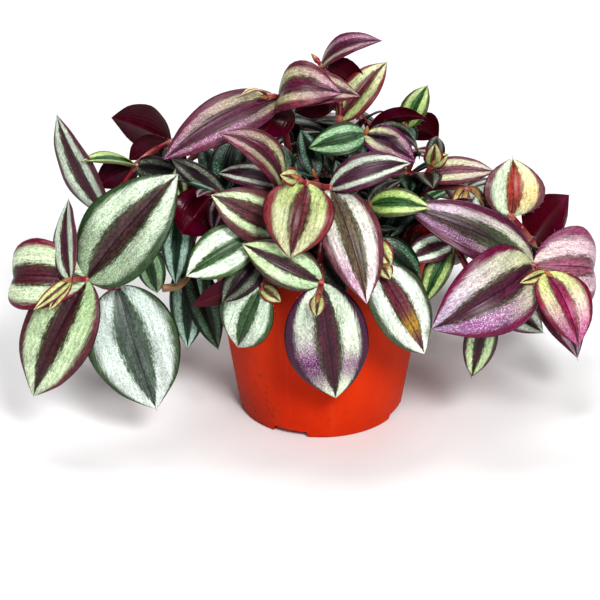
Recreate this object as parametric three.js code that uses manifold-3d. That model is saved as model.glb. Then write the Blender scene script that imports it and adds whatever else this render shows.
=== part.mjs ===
// Potted tradescantia: trailing striped leaves in a small plastic nursery pot.
// Millimetres, +Z up, front of the plant toward -Y, the pot stands on z = 0.
import * as THREE from "three";
import { mergeVertices } from "three/addons/utils/BufferGeometryUtils.js";
import Module from "manifold-3d";

const { Manifold, Mesh: SolidMesh } = await (async () => {
  const wasm = await Module();
  wasm.setup();
  return wasm;
})();

// Pot
const POT_HEIGHT = 92;
const FOOT_RADIUS = 38.4;
const BAND_RADIUS = 52.5;
const BAND_HEIGHT = 11;
const WALL = 1.5;
const WALL_SLOPE = 0.152;
const BOSS_RADIUS = 20;
const CHANNEL_INNER = 23;
const CHANNEL_OUTER = 34;
const FOOT_RING = 35;
const RAISED_FLOOR = 3.6;
const DRAIN_HOLES = 6;
const DRAIN_RADIUS = 3.5;
const DRAIN_CIRCLE = 29;
const DRAIN_SIDES = 8;
const NOTCHES = 4;
const NOTCH_WIDTH = 18;
const NOTCH_DEPTH = 12;
const NOTCH_HEIGHT = 3;
const NOTCH_TURN = (-112 * Math.PI) / 180;
const POT_SIDES = 32;

// Soil
const GAP = 0.3;
const SOIL_TOP = 80;
const FOOT = 81;
const ROOT_FOOT = 68;
const HOLE_SIDES = 5;

// Stems
const STEM_RADIUS = 1.9;
const STEM_SIDES = 5;
const STEM_STEP = 26;
const BUD_LENGTH = 2;
const ROOT_OVERLAP = 1.5;

// Leaves: outline widest at WIDE_P / (WIDE_P + WIDE_Q), folded along the midrib with bulging halves
const THICKNESS = 0.8;
const WIDE_P = 0.58;
const WIDE_Q = 0.82;
const FOLD = 0.42;
const CUP = 0.26;
// Stations along a leaf, for leaves longer than `over`
const STATIONS = [
  { over: 54, at: [0, 0.16, 0.38, 0.62, 0.84, 1] },
  { over: 44, at: [0, 0.2, 0.5, 0.8, 1] },
  { over: 28, at: [0, 0.3, 0.7, 1] },
  { over: 0, at: [0, 0.4, 1] },
];
const BASE_HALF = 0.8;
const TIP_HALF = 0.4;

const TINTS = {
  silver: 0xb9c4ae,
  plum: 0x7c4a66,
  green: 0x557a4c,
  fresh: 0x9fb07a,
  young: 0xb8b070,
  dark: 0x3c4634,
};
const LEAF_FINISH = { roughness: 0.42, metalness: 0 };
const POT_FINISH = { color: 0xcc3410, roughness: 0.45, metalness: 0 };
const SOIL_FINISH = { color: 0x2e2018, roughness: 0.95, metalness: 0 };

const UP = [0, 0, 1];
const VIEW = [0, -1, 0.5];

function leaf(node, tip, width, bow, look, tint, reach = 0.5) {
  return { node, tip, width, bow, look, tint, reach };
}

// Shoots placed by eye: the stem's points from the soil to the bud, then its leaves, each with
// the stem point it grows from, its tip, width, bow, the direction its upper side faces and tint.
const SHOOTS = {
  left_low: [
    [
      [-34, -4, FOOT], [-45, -7, 106], [-62, -16, 110], [-78, -30, 94],
      [-90, -38, 77], [-102, -46, 84], [-108, -53, 87],
    ],
    leaf(4, [-74, -50, 22], 41, 5, VIEW, "silver"),
    leaf(5, [-127, -58, 33], 34, 5, [-0.3, -1, 0.5], "fresh"),
    leaf(5, [-62, -34, 128], 38, 4, [-0.3, -1, 0.6], "silver"),
    leaf(5, [-136, -28, 75], 32, 10, [-0.4, -0.9, 0.7], "fresh", 0.8),
    leaf(6, [-123, -64, 78], 6, 2, VIEW, "young"),
    leaf(6, [-117, -60, 76], 6, 2, VIEW, "young"),
    leaf(6, [-111, -24, 112], 18, 2, [-1, -1.2, 0.2], "silver"),
    leaf(2, [-65, -30, 74], 16, 2, [-0.3, -1, 0.3], "silver"),
  ],
  left_back: [
    [
      [-32, 10, FOOT], [-38, 12, 108], [-52, 18, 122], [-69, 20, 122],
      [-84, 6, 116], [-98, 0, 96], [-106, -4, 88],
    ],
    leaf(3, [-98, 42, 126], 25, 2, [0, 1, 0.1], "plum"),
    leaf(3, [-89, 26, 111], 18, 2, [0.2, 1, 0.8], "plum"),
    leaf(4, [-107, -4, 122], 18, 2, UP, "fresh"),
    leaf(5, [-119, 12, 138], 22, 3, [-0.7, -0.9, 0.1], "silver"),
  ],
  top_left: [
    [[-10, 2, FOOT], [-13, 5, 112], [-17, 3, 138], [-19, -8, 153], [-24, -14, 156]],
    leaf(3, [-68, -32, 134], 24, 5, [0, -0.6, 0.8], "plum"),
    leaf(3, [8, -22, 160], 24, 10, [0, -0.7, 0.7], "plum"),
    leaf(4, [-35, -22, 159], 6, 3, UP, "young"),
    leaf(3, [-26, -18, 139], 20, 4, [0.4, 1, 0.5], "plum"),
    leaf(3, [16, -14, 156], 20, 6, [0, -0.5, 0.8], "plum"),
  ],
  crown: [
    [[4, 8, FOOT], [6, 10, 110], [8, 6, 138], [7, 12, 150], [0, 18, 159], [-2, 20, 161]],
    leaf(4, [26, 8, 174], 14, 6, [-0.2, -0.5, 0.8], "plum"),
    leaf(3, [-12, 0, 144], 16, 2, [0, 1, -0.3], "plum"),
    leaf(4, [20, 12, 147], 20, 2, [0, 1, 0.5], "plum"),
    leaf(2, [29, 18, 161], 17, 3, [-0.5, -1, 0.4], "fresh"),
  ],
  crown_right: [
    [[14, -4, FOOT], [15, -6, 108], [18, -10, 130], [19, -12, 138]],
    leaf(3, [40, -22, 129], 16, 4, [0.1, -0.8, 0.8], "plum"),
    leaf(3, [43, -8, 125], 15, 8, [0.2, -0.2, 1], "plum"),
    leaf(3, [-6, -16, 133], 15, 2, [0, -0.8, 0.6], "green"),
    leaf(3, [12, -18, 125], 10, 2, VIEW, "green"),
    leaf(3, [46, 0, 141], 13, 5, [0, 1, 0.6], "plum"),
  ],
  right_top: [
    [[26, 3, FOOT], [29, 4, 106], [38, 3, 113], [46, 0, 114], [49, -3, 120]],
    leaf(4, [50, -5, 131], 9, 1, VIEW, "young"),
    leaf(4, [56, -5, 126], 7, 1, VIEW, "young"),
    leaf(3, [77, -6, 118], 14, 4, [0, -0.8, 0.8], "fresh"),
  ],
  right_peak: [
    [[22, 18, FOOT], [28, 20, 112], [38, 18, 130], [40, 22, 132]],
    leaf(2, [48, 24, 148], 13, 2, [-0.5, -1, 0.3], "green"),
    leaf(2, [54, 27, 121], 20, 3, [0, 1, 0.4], "plum"),
  ],
  front_high: [
    [
      [8, -20, FOOT], [13, -27, 102], [11, -38, 118],
      [3, -45, 126], [-7, -54, 132], [-11, -58, 136],
    ],
    leaf(4, [-14, -72, 106], 30, 4, VIEW, "fresh"),
    leaf(3, [18, -74, 86], 27, 6, [0.3, -1, 0.5], "plum"),
    leaf(5, [-18, -62, 139], 8, 1, VIEW, "young"),
    leaf(3, [37, -39, 135], 17, 5, [0, -0.6, 0.8], "plum"),
  ],
  front_low: [
    [[0, -32, FOOT], [0, -42, 102], [-1, -54, 100], [-1, -64, 91], [-2, -70, 88]],
    leaf(3, [6, -56, 31], 36, 4, VIEW, "plum"),
    leaf(3, [-34, -60, 107], 19, 3, [-0.2, -1, 0.6], "fresh"),
    leaf(4, [-3, -74, 80], 7, 1, VIEW, "young"),
  ],
  front_right_low: [
    [[16, -32, FOOT], [19, -39, 103], [22, -50, 104], [22, -58, 96], [25, -61, 97]],
    leaf(3, [44, -60, 55], 28, 3, [0.5, -1, 0.5], "silver"),
    leaf(4, [28, -65, 93], 7, 2, VIEW, "young"),
    leaf(2, [29, -56, 95], 9, 2, VIEW, "young"),
    leaf(2, [42, -51, 86], 15, 3, [0, -0.8, 0.8], "green"),
  ],
  front_left_high: [
    [[-5, -20, FOOT], [-9, -24, 104], [-15, -32, 118], [-18, -36, 124]],
    leaf(3, [-44, -38, 148], 20, 9, [0.7, -0.6, 0.8], "plum"),
    leaf(3, [-45, -28, 126], 13, 4, [0, -0.6, 0.8], "plum"),
  ],
  front_left: [
    [[-12, -26, FOOT], [-15, -34, 103], [-18, -44, 108], [-30, -50, 106], [-37, -54, 101]],
    leaf(2, [-47, -52, 126], 23, 4, [-0.2, -1, 0.6], "plum"),
    leaf(3, [-58, -60, 92], 22, 3, [-0.1, -1, 0.7], "silver"),
  ],
  front_left_low: [
    [[-22, -28, FOOT], [-24, -36, 100], [-26, -48, 97], [-26, -56, 85]],
    leaf(3, [-37, -50, 53], 26, 3, [-0.3, -1, 0.5], "green"),
    leaf(3, [-18, -60, 80], 8, 1, VIEW, "young"),
    leaf(3, [-56, -55, 75], 15, 3, [-0.2, 1, 0.3], "plum"),
  ],
  left_rim: [
    [[-36, -16, FOOT], [-45, -19, 100], [-55, -20, 96], [-60, -18, 80], [-59, -17, 81]],
    leaf(4, [-61, -22, 38], 18, 2, [-0.2, -1, 0.3], "silver"),
    leaf(3, [-47, -27, 40], 16, 2, [0.3, -1, 0.3], "dark"),
  ],
  left_mid: [
    [[-22, -12, FOOT], [-31, -20, 104], [-43, -28, 116], [-48, -31, 118]],
    leaf(3, [-61, -42, 104], 22, 6, [0.5, 1, 0.3], "plum"),
    leaf(2, [-64, -20, 120], 12, 2, UP, "green"),
  ],
  right_cluster: [
    [
      [32, -10, FOOT], [42, -14, 103], [60, -22, 106],
      [78, -32, 98], [91, -42, 89], [96, -48, 88],
    ],
    leaf(4, [46, -68, 71], 36, 10, [-0.2, -1, 0.2], "plum"),
    leaf(4, [34, -45, 118], 25, 7, [0, -0.8, 0.8], "plum"),
    leaf(4, [120, -28, 80], 36, 8, [0.2, -1, 0.6], "plum", 0.7),
    leaf(5, [109, -68, 63], 25, 5, [0.4, -1, 0.5], "fresh"),
    leaf(5, [84, -56, 87], 6, 1, VIEW, "young"),
  ],
  right_hang: [
    [[34, -22, FOOT], [42, -26, 101], [56, -34, 96], [66, -38, 80], [72, -40, 66]],
    leaf(4, [67, -42, 34], 15, 2, VIEW, "green"),
    leaf(3, [97, -46, 58], 20, 4, VIEW, "silver"),
    leaf(2, [44, -46, 72], 12, 2, [-0.3, -1, 0.5], "fresh"),
    leaf(2, [35, -47, 93], 14, 2, [-0.1, -0.8, 0.8], "green"),
  ],
  right_mid: [
    [[20, -16, FOOT], [20, -22, 102], [20, -34, 114], [20, -42, 117]],
    leaf(3, [45, -52, 120], 14, 4, [0, -0.8, 0.8], "green"),
  ],
  right_back: [
    [[36, 4, FOOT], [44, 2, 104], [64, -6, 110], [84, -14, 100], [94, -14, 88]],
    leaf(3, [85, -2, 123], 29, 3, [0.2, -1, 0.2], "fresh"),
    leaf(4, [113, 8, 101], 23, 3, [0.3, 1, 0.1], "plum"),
  ],
};

// Trailing shoots at the back: name, heading in degrees, root radius, height over the rim,
// reach from the pot's axis and height of the hanging end.
const TRAILS = [
  ["back_1", 20, 40, 107, 98, 74],
  ["back_2", 42, 38, 109, 96, 80],
  ["back_3", 64, 40, 108, 104, 70],
  ["back_4", 88, 38, 110, 98, 84],
  ["back_5", 110, 41, 107, 104, 72],
  ["back_6", 134, 39, 109, 96, 82],
  ["back_7", 156, 41, 106, 100, 74],
];
const RIM_CLEAR = 103;
const CREST_RADIUS = 60;
// Leaves of a drawn shoot: stem point, length, slope.
const TRAIL_LEAVES = [
  [2, 54, -0.5], [3, 60, -0.6], [4, 60, -0.9], [4, 56, -0.35],
  [5, 50, -0.7], [3, 50, -0.1], [2, 44, 0.1], [5, 24, 0.1],
];
// Upright shoots inside: name, root x and y, height of the top.
const UPRIGHTS = [
  ["top_1", -14, 30, 140],
  ["top_2", 7, 33, 142],
  ["top_3", -22, 18, 136],
  ["top_5", 0, -8, 118],
  ["top_6", 12, 12, 128],
  ["top_8", 32, 15, 116],
  ["low_1", -16, -6, 112],
];
const UPRIGHT_LEAVES = [
  [1, 44, -0.1], [2, 44, 0], [2, 42, -0.3], [3, 42, 0.15], [3, 38, -0.1], [3, 24, 0.7],
  [1, 36, -0.3], [2, 34, 0.3],
];
// Leaves tried low on every shoot, to fill the inside.
const FILLER_LEAVES = [[1, 44, -0.1], [2, 42, -0.3]];
// Drawn leaves: tints, width and bow over length, and how far each new try turns and shrinks.
const DRAWN_TINTS = ["silver", "plum", "green", "fresh"];
const DRAWN_WIDTH = [0.52, 0.6];
const DRAWN_BOW = [0.06, 0.12];
const TRIES = 24;
const TURN_SPREAD = 0.12;
const RISE_SPREAD = 0.1;
const SHRINK = 0.97;
const LOOK_OUT = 0.5;

// Drawn leaves stay behind FRONT_LIMIT, above FRONT_LOW where they are in front of OVER_POT, under
// a roof that rises to the back and under a ridge that falls to both sides, so the leaves placed
// by eye stay in view.
const FRONT_LIMIT = -44;
const FRONT_LOW = 88;
const OVER_POT = -20;
const ROOF = { height: 140, rise: 0.3 };
const RIDGE = { height: 150, up: 0.9, back: 0.44, fall: 0.6 };

// Samples that keep the shoots clear of each other
const CELL = 2;
const ROWS = 25;
const HALF_COLUMNS = 7;
const ROOT_ROWS = 12;
const STEM_SAMPLES = 14;
const POT_SAMPLES = 120;
const POT_SAMPLE_STEP = 3;
const ABOVE_SOIL = 88;

const SEED = 4711;
const DRAW_STEP = 16807;
const DRAW_RANGE = 2 ** 31 - 1;

const BAND_FOOT = POT_HEIGHT - BAND_HEIGHT;
const wallOuter = (z) => FOOT_RADIUS + WALL_SLOPE * z;
const vec = (p) => new THREE.Vector3(...p);

let seed = SEED;
function draw(low, high) {
  seed = (seed * DRAW_STEP) % DRAW_RANGE;
  return low + ((high - low) * seed) / DRAW_RANGE;
}

// Leaf surface

function frameOf(base, leafData) {
  const chord = vec(leafData.tip).sub(base);
  const along = chord.clone().normalize();
  const look = vec(leafData.look);
  const normal = look.clone().addScaledVector(along, -look.dot(along)).normalize();
  const side = along.clone().cross(normal);
  const crest = base.clone()
    .addScaledVector(chord, leafData.reach)
    .addScaledVector(normal, 2 * leafData.bow);
  return { base, crest, tip: vec(leafData.tip), side, half: leafData.width / 2 };
}

function outline(t) {
  const widest = WIDE_P / (WIDE_P + WIDE_Q);
  return (t / widest) ** WIDE_P * ((1 - t) / (1 - widest)) ** WIDE_Q;
}

function surfacePoint(frame, t, u, half, lift = 0) {
  const s = 1 - t;
  const point = frame.base.clone().multiplyScalar(s * s)
    .addScaledVector(frame.crest, 2 * t * s)
    .addScaledVector(frame.tip, t * t);
  const along = frame.crest.clone().sub(frame.base).multiplyScalar(s)
    .addScaledVector(frame.tip.clone().sub(frame.crest), t)
    .normalize();
  const normal = frame.side.clone().cross(along);
  const height = half * (FOLD * Math.abs(u) - CUP * u * u);
  return point.addScaledVector(frame.side, half * u).addScaledVector(normal, height + lift);
}

function halfWidth(frame, t) {
  const low = BASE_HALF + (TIP_HALF - BASE_HALF) * t;
  return Math.max(frame.half * outline(t), low);
}

// Solids

const WELD = 1e-4;

function toSolid(positions, triangles) {
  return new Manifold(new SolidMesh({
    numProp: 3,
    vertProperties: new Float32Array(positions),
    triVerts: new Uint32Array(triangles),
  }));
}

function solidOf(geometry) {
  geometry.deleteAttribute("normal");
  geometry.deleteAttribute("uv");
  const merged = mergeVertices(geometry, WELD);
  const corners = Array.from(merged.index.array);
  const triangles = [];
  for (let i = 0; i < corners.length; i += 3) {
    const [a, b, c] = corners.slice(i, i + 3);
    if (a !== b && b !== c && c !== a) triangles.push(a, b, c);
  }
  return toSolid(merged.attributes.position.array, triangles);
}

function meshOf(name, solid, finish) {
  const data = solid.getMesh();
  const geometry = new THREE.BufferGeometry();
  geometry.setAttribute("position", new THREE.BufferAttribute(data.vertProperties, 3));
  geometry.setIndex(new THREE.BufferAttribute(data.triVerts, 1));
  geometry.computeVertexNormals();
  const mesh = new THREE.Mesh(geometry, new THREE.MeshStandardMaterial(finish));
  mesh.name = name;
  return mesh;
}

// Solid of revolution about Z from a profile of [radius, z] that starts and ends on the axis.
function turned(profile) {
  const points = profile.map(([radius, z]) => new THREE.Vector2(radius, z));
  return solidOf(new THREE.LatheGeometry(points, POT_SIDES).rotateX(Math.PI / 2));
}

function stationsFor(frame) {
  const length = frame.base.distanceTo(frame.tip);
  return STATIONS.find(({ over }) => length > over).at;
}

function leafSolid(frame) {
  const across = [-1, 0, 1];
  const stations = stationsFor(frame);
  const positions = [];
  for (const lift of [THICKNESS / 2, -THICKNESS / 2]) {
    for (const t of stations) {
      for (const u of across) {
        positions.push(...surfacePoint(frame, t, u, halfWidth(frame, t), lift).toArray());
      }
    }
  }
  const rows = stations.length;
  const columns = across.length;
  const top = (i, j) => i * columns + j;
  const bottom = (i, j) => rows * columns + top(i, j);
  const triangles = [];
  const quad = (a, b, c, d) => triangles.push(a, b, c, a, c, d);
  for (let i = 0; i + 1 < rows; i += 1) {
    for (let j = 0; j + 1 < columns; j += 1) {
      quad(top(i, j), top(i, j + 1), top(i + 1, j + 1), top(i + 1, j));
      quad(bottom(i, j), bottom(i + 1, j), bottom(i + 1, j + 1), bottom(i, j + 1));
    }
    const last = columns - 1;
    quad(top(i, 0), top(i + 1, 0), bottom(i + 1, 0), bottom(i, 0));
    quad(top(i, last), bottom(i, last), bottom(i + 1, last), top(i + 1, last));
  }
  for (let j = 0; j + 1 < columns; j += 1) {
    quad(top(0, j), bottom(0, j), bottom(0, j + 1), top(0, j + 1));
    quad(top(rows - 1, j), top(rows - 1, j + 1), bottom(rows - 1, j + 1), bottom(rows - 1, j));
  }
  return toSolid(positions, triangles);
}

function stemCurve(stem) {
  return new THREE.CatmullRomCurve3(stem.map(vec), false, "catmullrom", 0.5);
}

// Path with a stop at every stem point, and stops about STEM_STEP apart between them.
class StemPath extends THREE.Curve {
  constructor(stem) {
    super();
    this.curve = stemCurve(stem);
    this.stops = stem.slice(1).flatMap((point, i) => {
      const parts = Math.max(1, Math.round(vec(point).distanceTo(vec(stem[i])) / STEM_STEP));
      return Array.from({ length: parts }, (_, k) => (i + k / parts) / (stem.length - 1));
    });
    this.stops.push(1);
    this.steps = this.stops.length - 1;
  }

  getPointAt(u, target) {
    return this.curve.getPoint(this.stops[Math.round(u * this.steps)], target);
  }

  getTangentAt(u, target) {
    return this.curve.getTangent(this.stops[Math.round(u * this.steps)], target);
  }
}

function stemSolid(stem) {
  const round = new THREE.Shape();
  for (let k = 0; k < STEM_SIDES; k += 1) {
    const angle = (2 * Math.PI * k) / STEM_SIDES;
    const [x, y] = [STEM_RADIUS * Math.cos(angle), STEM_RADIUS * Math.sin(angle)];
    if (k === 0) round.moveTo(x, y);
    else round.lineTo(x, y);
  }
  const end = vec(stem.at(-1));
  const bud = end.clone().sub(vec(stem.at(-2))).setLength(BUD_LENGTH).add(end);
  const path = new StemPath([...stem, bud.toArray()]);
  const tube = new THREE.ExtrudeGeometry(round, { steps: path.steps, extrudePath: path });
  const [x, y, foot] = stem[0];
  const top = foot + ROOT_OVERLAP;
  const root = new THREE.CylinderGeometry(STEM_RADIUS, STEM_RADIUS, top - ROOT_FOOT, STEM_SIDES);
  root.rotateX(Math.PI / 2).translate(x, y, (top + ROOT_FOOT) / 2);
  return solidOf(tube).add(solidOf(root));
}

function shootSolid([stem, ...leaves]) {
  return leaves.reduce(
    (body, leafData) => body.add(leafSolid(frameOf(vec(stem[leafData.node]), leafData))),
    stemSolid(stem),
  );
}

// Clearance: every sampled point claims its cell and the cells around it

const claims = new Map();

function cellKey(x, y, z) {
  return `${Math.floor(x / CELL)},${Math.floor(y / CELL)},${Math.floor(z / CELL)}`;
}

function claim(points, name) {
  const around = [-CELL, 0, CELL];
  for (const { x, y, z } of points) {
    for (const dx of around) {
      for (const dy of around) {
        for (const dz of around) {
          const key = cellKey(x + dx, y + dy, z + dz);
          if (!claims.has(key)) claims.set(key, new Set());
          claims.get(key).add(name);
        }
      }
    }
  }
}

// A leaf may come near its own shoot only in the rows next to its root.
function isFree(points, name, near = Infinity) {
  return points.every(({ x, y, z }, k) => {
    const owners = claims.get(cellKey(x, y, z));
    return !owners || (k < near && owners.size === 1 && owners.has(name));
  });
}

function leafPoints(stem, leafData) {
  const frame = frameOf(vec(stem[leafData.node]), leafData);
  const points = [];
  for (let i = 1; i <= ROWS; i += 1) {
    const t = i / ROWS;
    for (let j = -HALF_COLUMNS; j <= HALF_COLUMNS; j += 1) {
      points.push(surfacePoint(frame, t, j / HALF_COLUMNS, halfWidth(frame, t)));
    }
  }
  return points;
}

function stemPoints(stem) {
  const points = stemCurve(stem).getPoints(STEM_SAMPLES * (stem.length - 1));
  return points.filter(({ z }) => z > ABOVE_SOIL);
}

function potPoints() {
  const points = [];
  for (let k = 0; k < POT_SAMPLES; k += 1) {
    const angle = (2 * Math.PI * k) / POT_SAMPLES;
    const ring = (radius, z) => points.push(vec([radius * Math.cos(angle), radius * Math.sin(angle), z]));
    for (let z = 0; z <= POT_HEIGHT; z += POT_SAMPLE_STEP) {
      ring(z < BAND_FOOT ? wallOuter(z) : BAND_RADIUS, z);
    }
    for (let radius = POT_SAMPLE_STEP; radius < BAND_RADIUS - WALL; radius += POT_SAMPLE_STEP) {
      ring(radius, SOIL_TOP);
    }
  }
  return points;
}

function isBehind({ x, y, z }) {
  const underRoof = z < ROOF.height + ROOF.rise * Math.max(0, y);
  const underRidge = RIDGE.up * z + RIDGE.back * y < RIDGE.height - RIDGE.fall * Math.abs(x);
  const overPot = y > OVER_POT || z > FRONT_LOW;
  return y > FRONT_LIMIT && overPot && underRoof && underRidge;
}

// First of a few drawn leaves that keeps clear, or none.
function tryLeaf(name, stem, [node, size, slope], heading) {
  const tint = DRAWN_TINTS[Math.floor(draw(0, 3.99))];
  for (let k = 0; k < TRIES; k += 1) {
    const turn = heading + draw(-TURN_SPREAD, TURN_SPREAD) * (1 + k);
    const rise = slope + draw(-RISE_SPREAD, RISE_SPREAD) * (1 + k / 2);
    const length = size * SHRINK ** k;
    const tip = [
      stem[node][0] + length * Math.cos(turn) * Math.cos(rise),
      stem[node][1] + length * Math.sin(turn) * Math.cos(rise),
      stem[node][2] + length * Math.sin(rise),
    ];
    const look = [LOOK_OUT * Math.cos(turn), LOOK_OUT * Math.sin(turn), 1];
    const width = length * draw(...DRAWN_WIDTH);
    const bow = length * draw(...DRAWN_BOW);
    const leafData = leaf(node, tip, width, bow, look, tint);
    const points = leafPoints(stem, leafData);
    if (points.every(isBehind) && isFree(points, name, ROOT_ROWS * (2 * HALF_COLUMNS + 1))) {
      claim(points, name);
      return [leafData];
    }
  }
  return [];
}

function trailingStem([, degrees, root, crest, reach, low]) {
  const heading = (degrees * Math.PI) / 180;
  const swing = draw(-0.12, 0.12);
  const end = heading + swing * 1.5;
  const path = [
    [root, FOOT, heading],
    [root + 8, RIM_CLEAR, heading],
    [CREST_RADIUS, crest, heading + swing * 0.5],
    [(CREST_RADIUS + reach) / 2, crest - 5, heading + swing],
    [reach, low, end],
    [reach + 6, low + 3, end],
  ];
  const stem = path.map(([radius, z, angle]) => [radius * Math.cos(angle), radius * Math.sin(angle), z]);
  return { stem, heading: end };
}

function drawShoots() {
  const plans = [];
  for (const row of TRAILS) {
    const { stem, heading } = trailingStem(row);
    let side = draw(0, 1) > 0.5 ? 1 : -1;
    const turns = TRAIL_LEAVES.map(([node]) => {
      side = -side;
      return heading + side * (node < 5 ? draw(0.7, 1.2) : draw(0.1, 0.4));
    });
    plans.push({ name: row[0], stem, rows: TRAIL_LEAVES, turns });
  }
  for (const [name, x, y, top] of UPRIGHTS) {
    const stem = [
      [x, y, FOOT],
      [x * 1.1, y * 1.1, 0.45 * ROOT_FOOT + 0.55 * top],
      [x * 1.2, y * 1.2, top - 12],
      [x * 1.2 + draw(-4, 4), y * 1.2 + draw(-4, 4), top],
    ];
    let turn = draw(0, 2 * Math.PI);
    const turns = UPRIGHT_LEAVES.map(() => (turn += draw(2.0, 2.8)));
    plans.push({ name, stem, rows: UPRIGHT_LEAVES, turns });
  }
  return plans;
}

function growAll() {
  const shoots = { ...SHOOTS };
  claim(potPoints(), "pot");
  for (const [name, [stem, ...leaves]] of Object.entries(SHOOTS)) {
    claim(stemPoints(stem), name);
    leaves.forEach((leafData) => claim(leafPoints(stem, leafData), name));
  }
  const plans = drawShoots().filter(({ name, stem }) => {
    const free = isFree(stemPoints(stem), name);
    if (free) claim(stemPoints(stem), name);
    return free;
  });
  for (const { name, stem, rows, turns } of plans) {
    const leaves = rows.flatMap((row, k) => tryLeaf(name, stem, row, turns[k]));
    if (leaves.length > 1) shoots[name] = [stem, ...leaves];
  }
  for (const [name, shoot] of Object.entries(shoots)) {
    let turn = draw(0, 2 * Math.PI);
    const leaves = FILLER_LEAVES.flatMap((row) => {
      turn += draw(1.9, 2.9);
      return row[0] < shoot[0].length ? tryLeaf(name, shoot[0], row, turn) : [];
    });
    shoots[name] = [...shoot, ...leaves];
  }
  return shoots;
}

// Pot and soil

function potSolid() {
  const outer = [
    [0, 0],
    [BOSS_RADIUS, 0],
    [CHANNEL_INNER, RAISED_FLOOR],
    [CHANNEL_OUTER, RAISED_FLOOR],
    [FOOT_RING, 0],
    [FOOT_RADIUS - 0.4, 0],
    [FOOT_RADIUS, 0.6],
    [wallOuter(BAND_FOOT), BAND_FOOT],
    [BAND_RADIUS - 0.3, BAND_FOOT + 0.9],
    [BAND_RADIUS, POT_HEIGHT - 0.9],
    [BAND_RADIUS - 0.5, POT_HEIGHT],
    [BAND_RADIUS - WALL, POT_HEIGHT],
  ];
  const inner = [
    [BAND_RADIUS - WALL - 0.4, BAND_FOOT + 1.4],
    [wallOuter(BAND_FOOT) - WALL, BAND_FOOT - 0.6],
    [FOOT_RADIUS - WALL + 1, RAISED_FLOOR + 2.6],
    [FOOT_RADIUS - WALL - 0.4, RAISED_FLOOR + WALL],
    [CHANNEL_INNER - 0.8, RAISED_FLOOR + WALL],
    [BOSS_RADIUS - 0.8, WALL],
    [0, WALL],
  ];
  let solid = turned([...outer, ...inner]);
  for (let k = 0; k < DRAIN_HOLES; k += 1) {
    const angle = (2 * Math.PI * (k + 0.5)) / DRAIN_HOLES;
    const hole = new THREE.CylinderGeometry(DRAIN_RADIUS, DRAIN_RADIUS, 2 * RAISED_FLOOR, DRAIN_SIDES);
    hole.rotateX(Math.PI / 2);
    hole.translate(DRAIN_CIRCLE * Math.cos(angle), DRAIN_CIRCLE * Math.sin(angle), RAISED_FLOOR);
    solid = solid.subtract(solidOf(hole));
  }
  for (let k = 0; k < NOTCHES; k += 1) {
    const notch = new THREE.BoxGeometry(NOTCH_DEPTH, NOTCH_WIDTH, 2 * NOTCH_HEIGHT);
    notch.translate(FOOT_RADIUS - 1, 0, 0).rotateZ(NOTCH_TURN + (2 * Math.PI * k) / NOTCHES);
    solid = solid.subtract(solidOf(notch));
  }
  return solid;
}

function soilSolid(shoots) {
  const side = wallOuter(0) - WALL - GAP;
  const floor = RAISED_FLOOR + WALL + GAP;
  const profile = [
    [0, WALL + GAP],
    [BOSS_RADIUS - 1, WALL + GAP],
    [CHANNEL_INNER - 1, floor],
    [side - 0.6, floor],
    [side + 0.9, RAISED_FLOOR + 3],
    [wallOuter(SOIL_TOP) - WALL - GAP - 0.2, SOIL_TOP],
    [0, SOIL_TOP],
  ];
  const radius = (STEM_RADIUS + GAP) / Math.cos(Math.PI / HOLE_SIDES);
  const low = ROOT_FOOT - GAP;
  const depth = FOOT - low;
  return Object.values(shoots).reduce((body, [stem]) => {
    const hole = new THREE.CylinderGeometry(radius, radius, depth, HOLE_SIDES);
    hole.rotateX(Math.PI / 2).translate(stem[0][0], stem[0][1], low + depth / 2);
    return body.subtract(solidOf(hole));
  }, turned(profile));
}

const shoots = growAll();
const group = new THREE.Group();
group.name = "potted_tradescantia";
group.add(meshOf("pot", potSolid(), POT_FINISH));
group.add(meshOf("soil", soilSolid(shoots), SOIL_FINISH));
for (const [name, shoot] of Object.entries(shoots)) {
  group.add(meshOf(name, shootSolid(shoot), { color: TINTS[shoot[1].tint], ...LEAF_FINISH }));
}

export default group;
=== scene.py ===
"""Looks of the potted tradescantia: striped leaves on fleshy stems, crumbly soil and an orange-red pot.

Plant dimensions are in millimetres, as in the part's source, and become metres when a mesh is made.
"""
import math
from functools import partialmethod

import bpy
import numpy as np
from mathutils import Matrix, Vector


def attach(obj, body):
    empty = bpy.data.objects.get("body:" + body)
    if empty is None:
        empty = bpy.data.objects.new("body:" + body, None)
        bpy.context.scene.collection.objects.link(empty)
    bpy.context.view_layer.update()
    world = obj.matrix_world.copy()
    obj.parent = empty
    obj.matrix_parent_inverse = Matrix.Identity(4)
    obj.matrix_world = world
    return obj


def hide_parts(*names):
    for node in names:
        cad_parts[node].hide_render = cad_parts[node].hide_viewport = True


MM = 0.001

# Pot
POT_HEIGHT = 92
FOOT_RADIUS = 38.4
BAND_RADIUS = 52.5
BAND_HEIGHT = 11
BAND_FOOT = POT_HEIGHT - BAND_HEIGHT
WALL = 1.5
WALL_SLOPE = 0.152
BOSS_RADIUS = 20
CHANNEL_INNER = 23
CHANNEL_OUTER = 34
FOOT_RING = 35
RAISED_FLOOR = 3.6
DRAIN_HOLES = 6
DRAIN_RADIUS = 3.5
DRAIN_CIRCLE = 29
NOTCHES = 4
NOTCH_WIDTH = 18
NOTCH_HEIGHT = 3
NOTCH_TURN = math.radians(-112)

# Soil and stems
GAP = 0.3
SOIL_TOP = 80
FOOT = 81
ROOT_FOOT = 68
STEM_RADIUS = 1.9

# Leaves
WIDE_P = 0.58
WIDE_Q = 0.82
FOLD = 0.42
CUP = 0.26
BASE_HALF = 0.8
TIP_HALF = 0.4


# Facing of most leaves in front, and the place of a drawn leaf's bend
VIEW = (0, -1, 0.5)
BEND = 0.5


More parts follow.
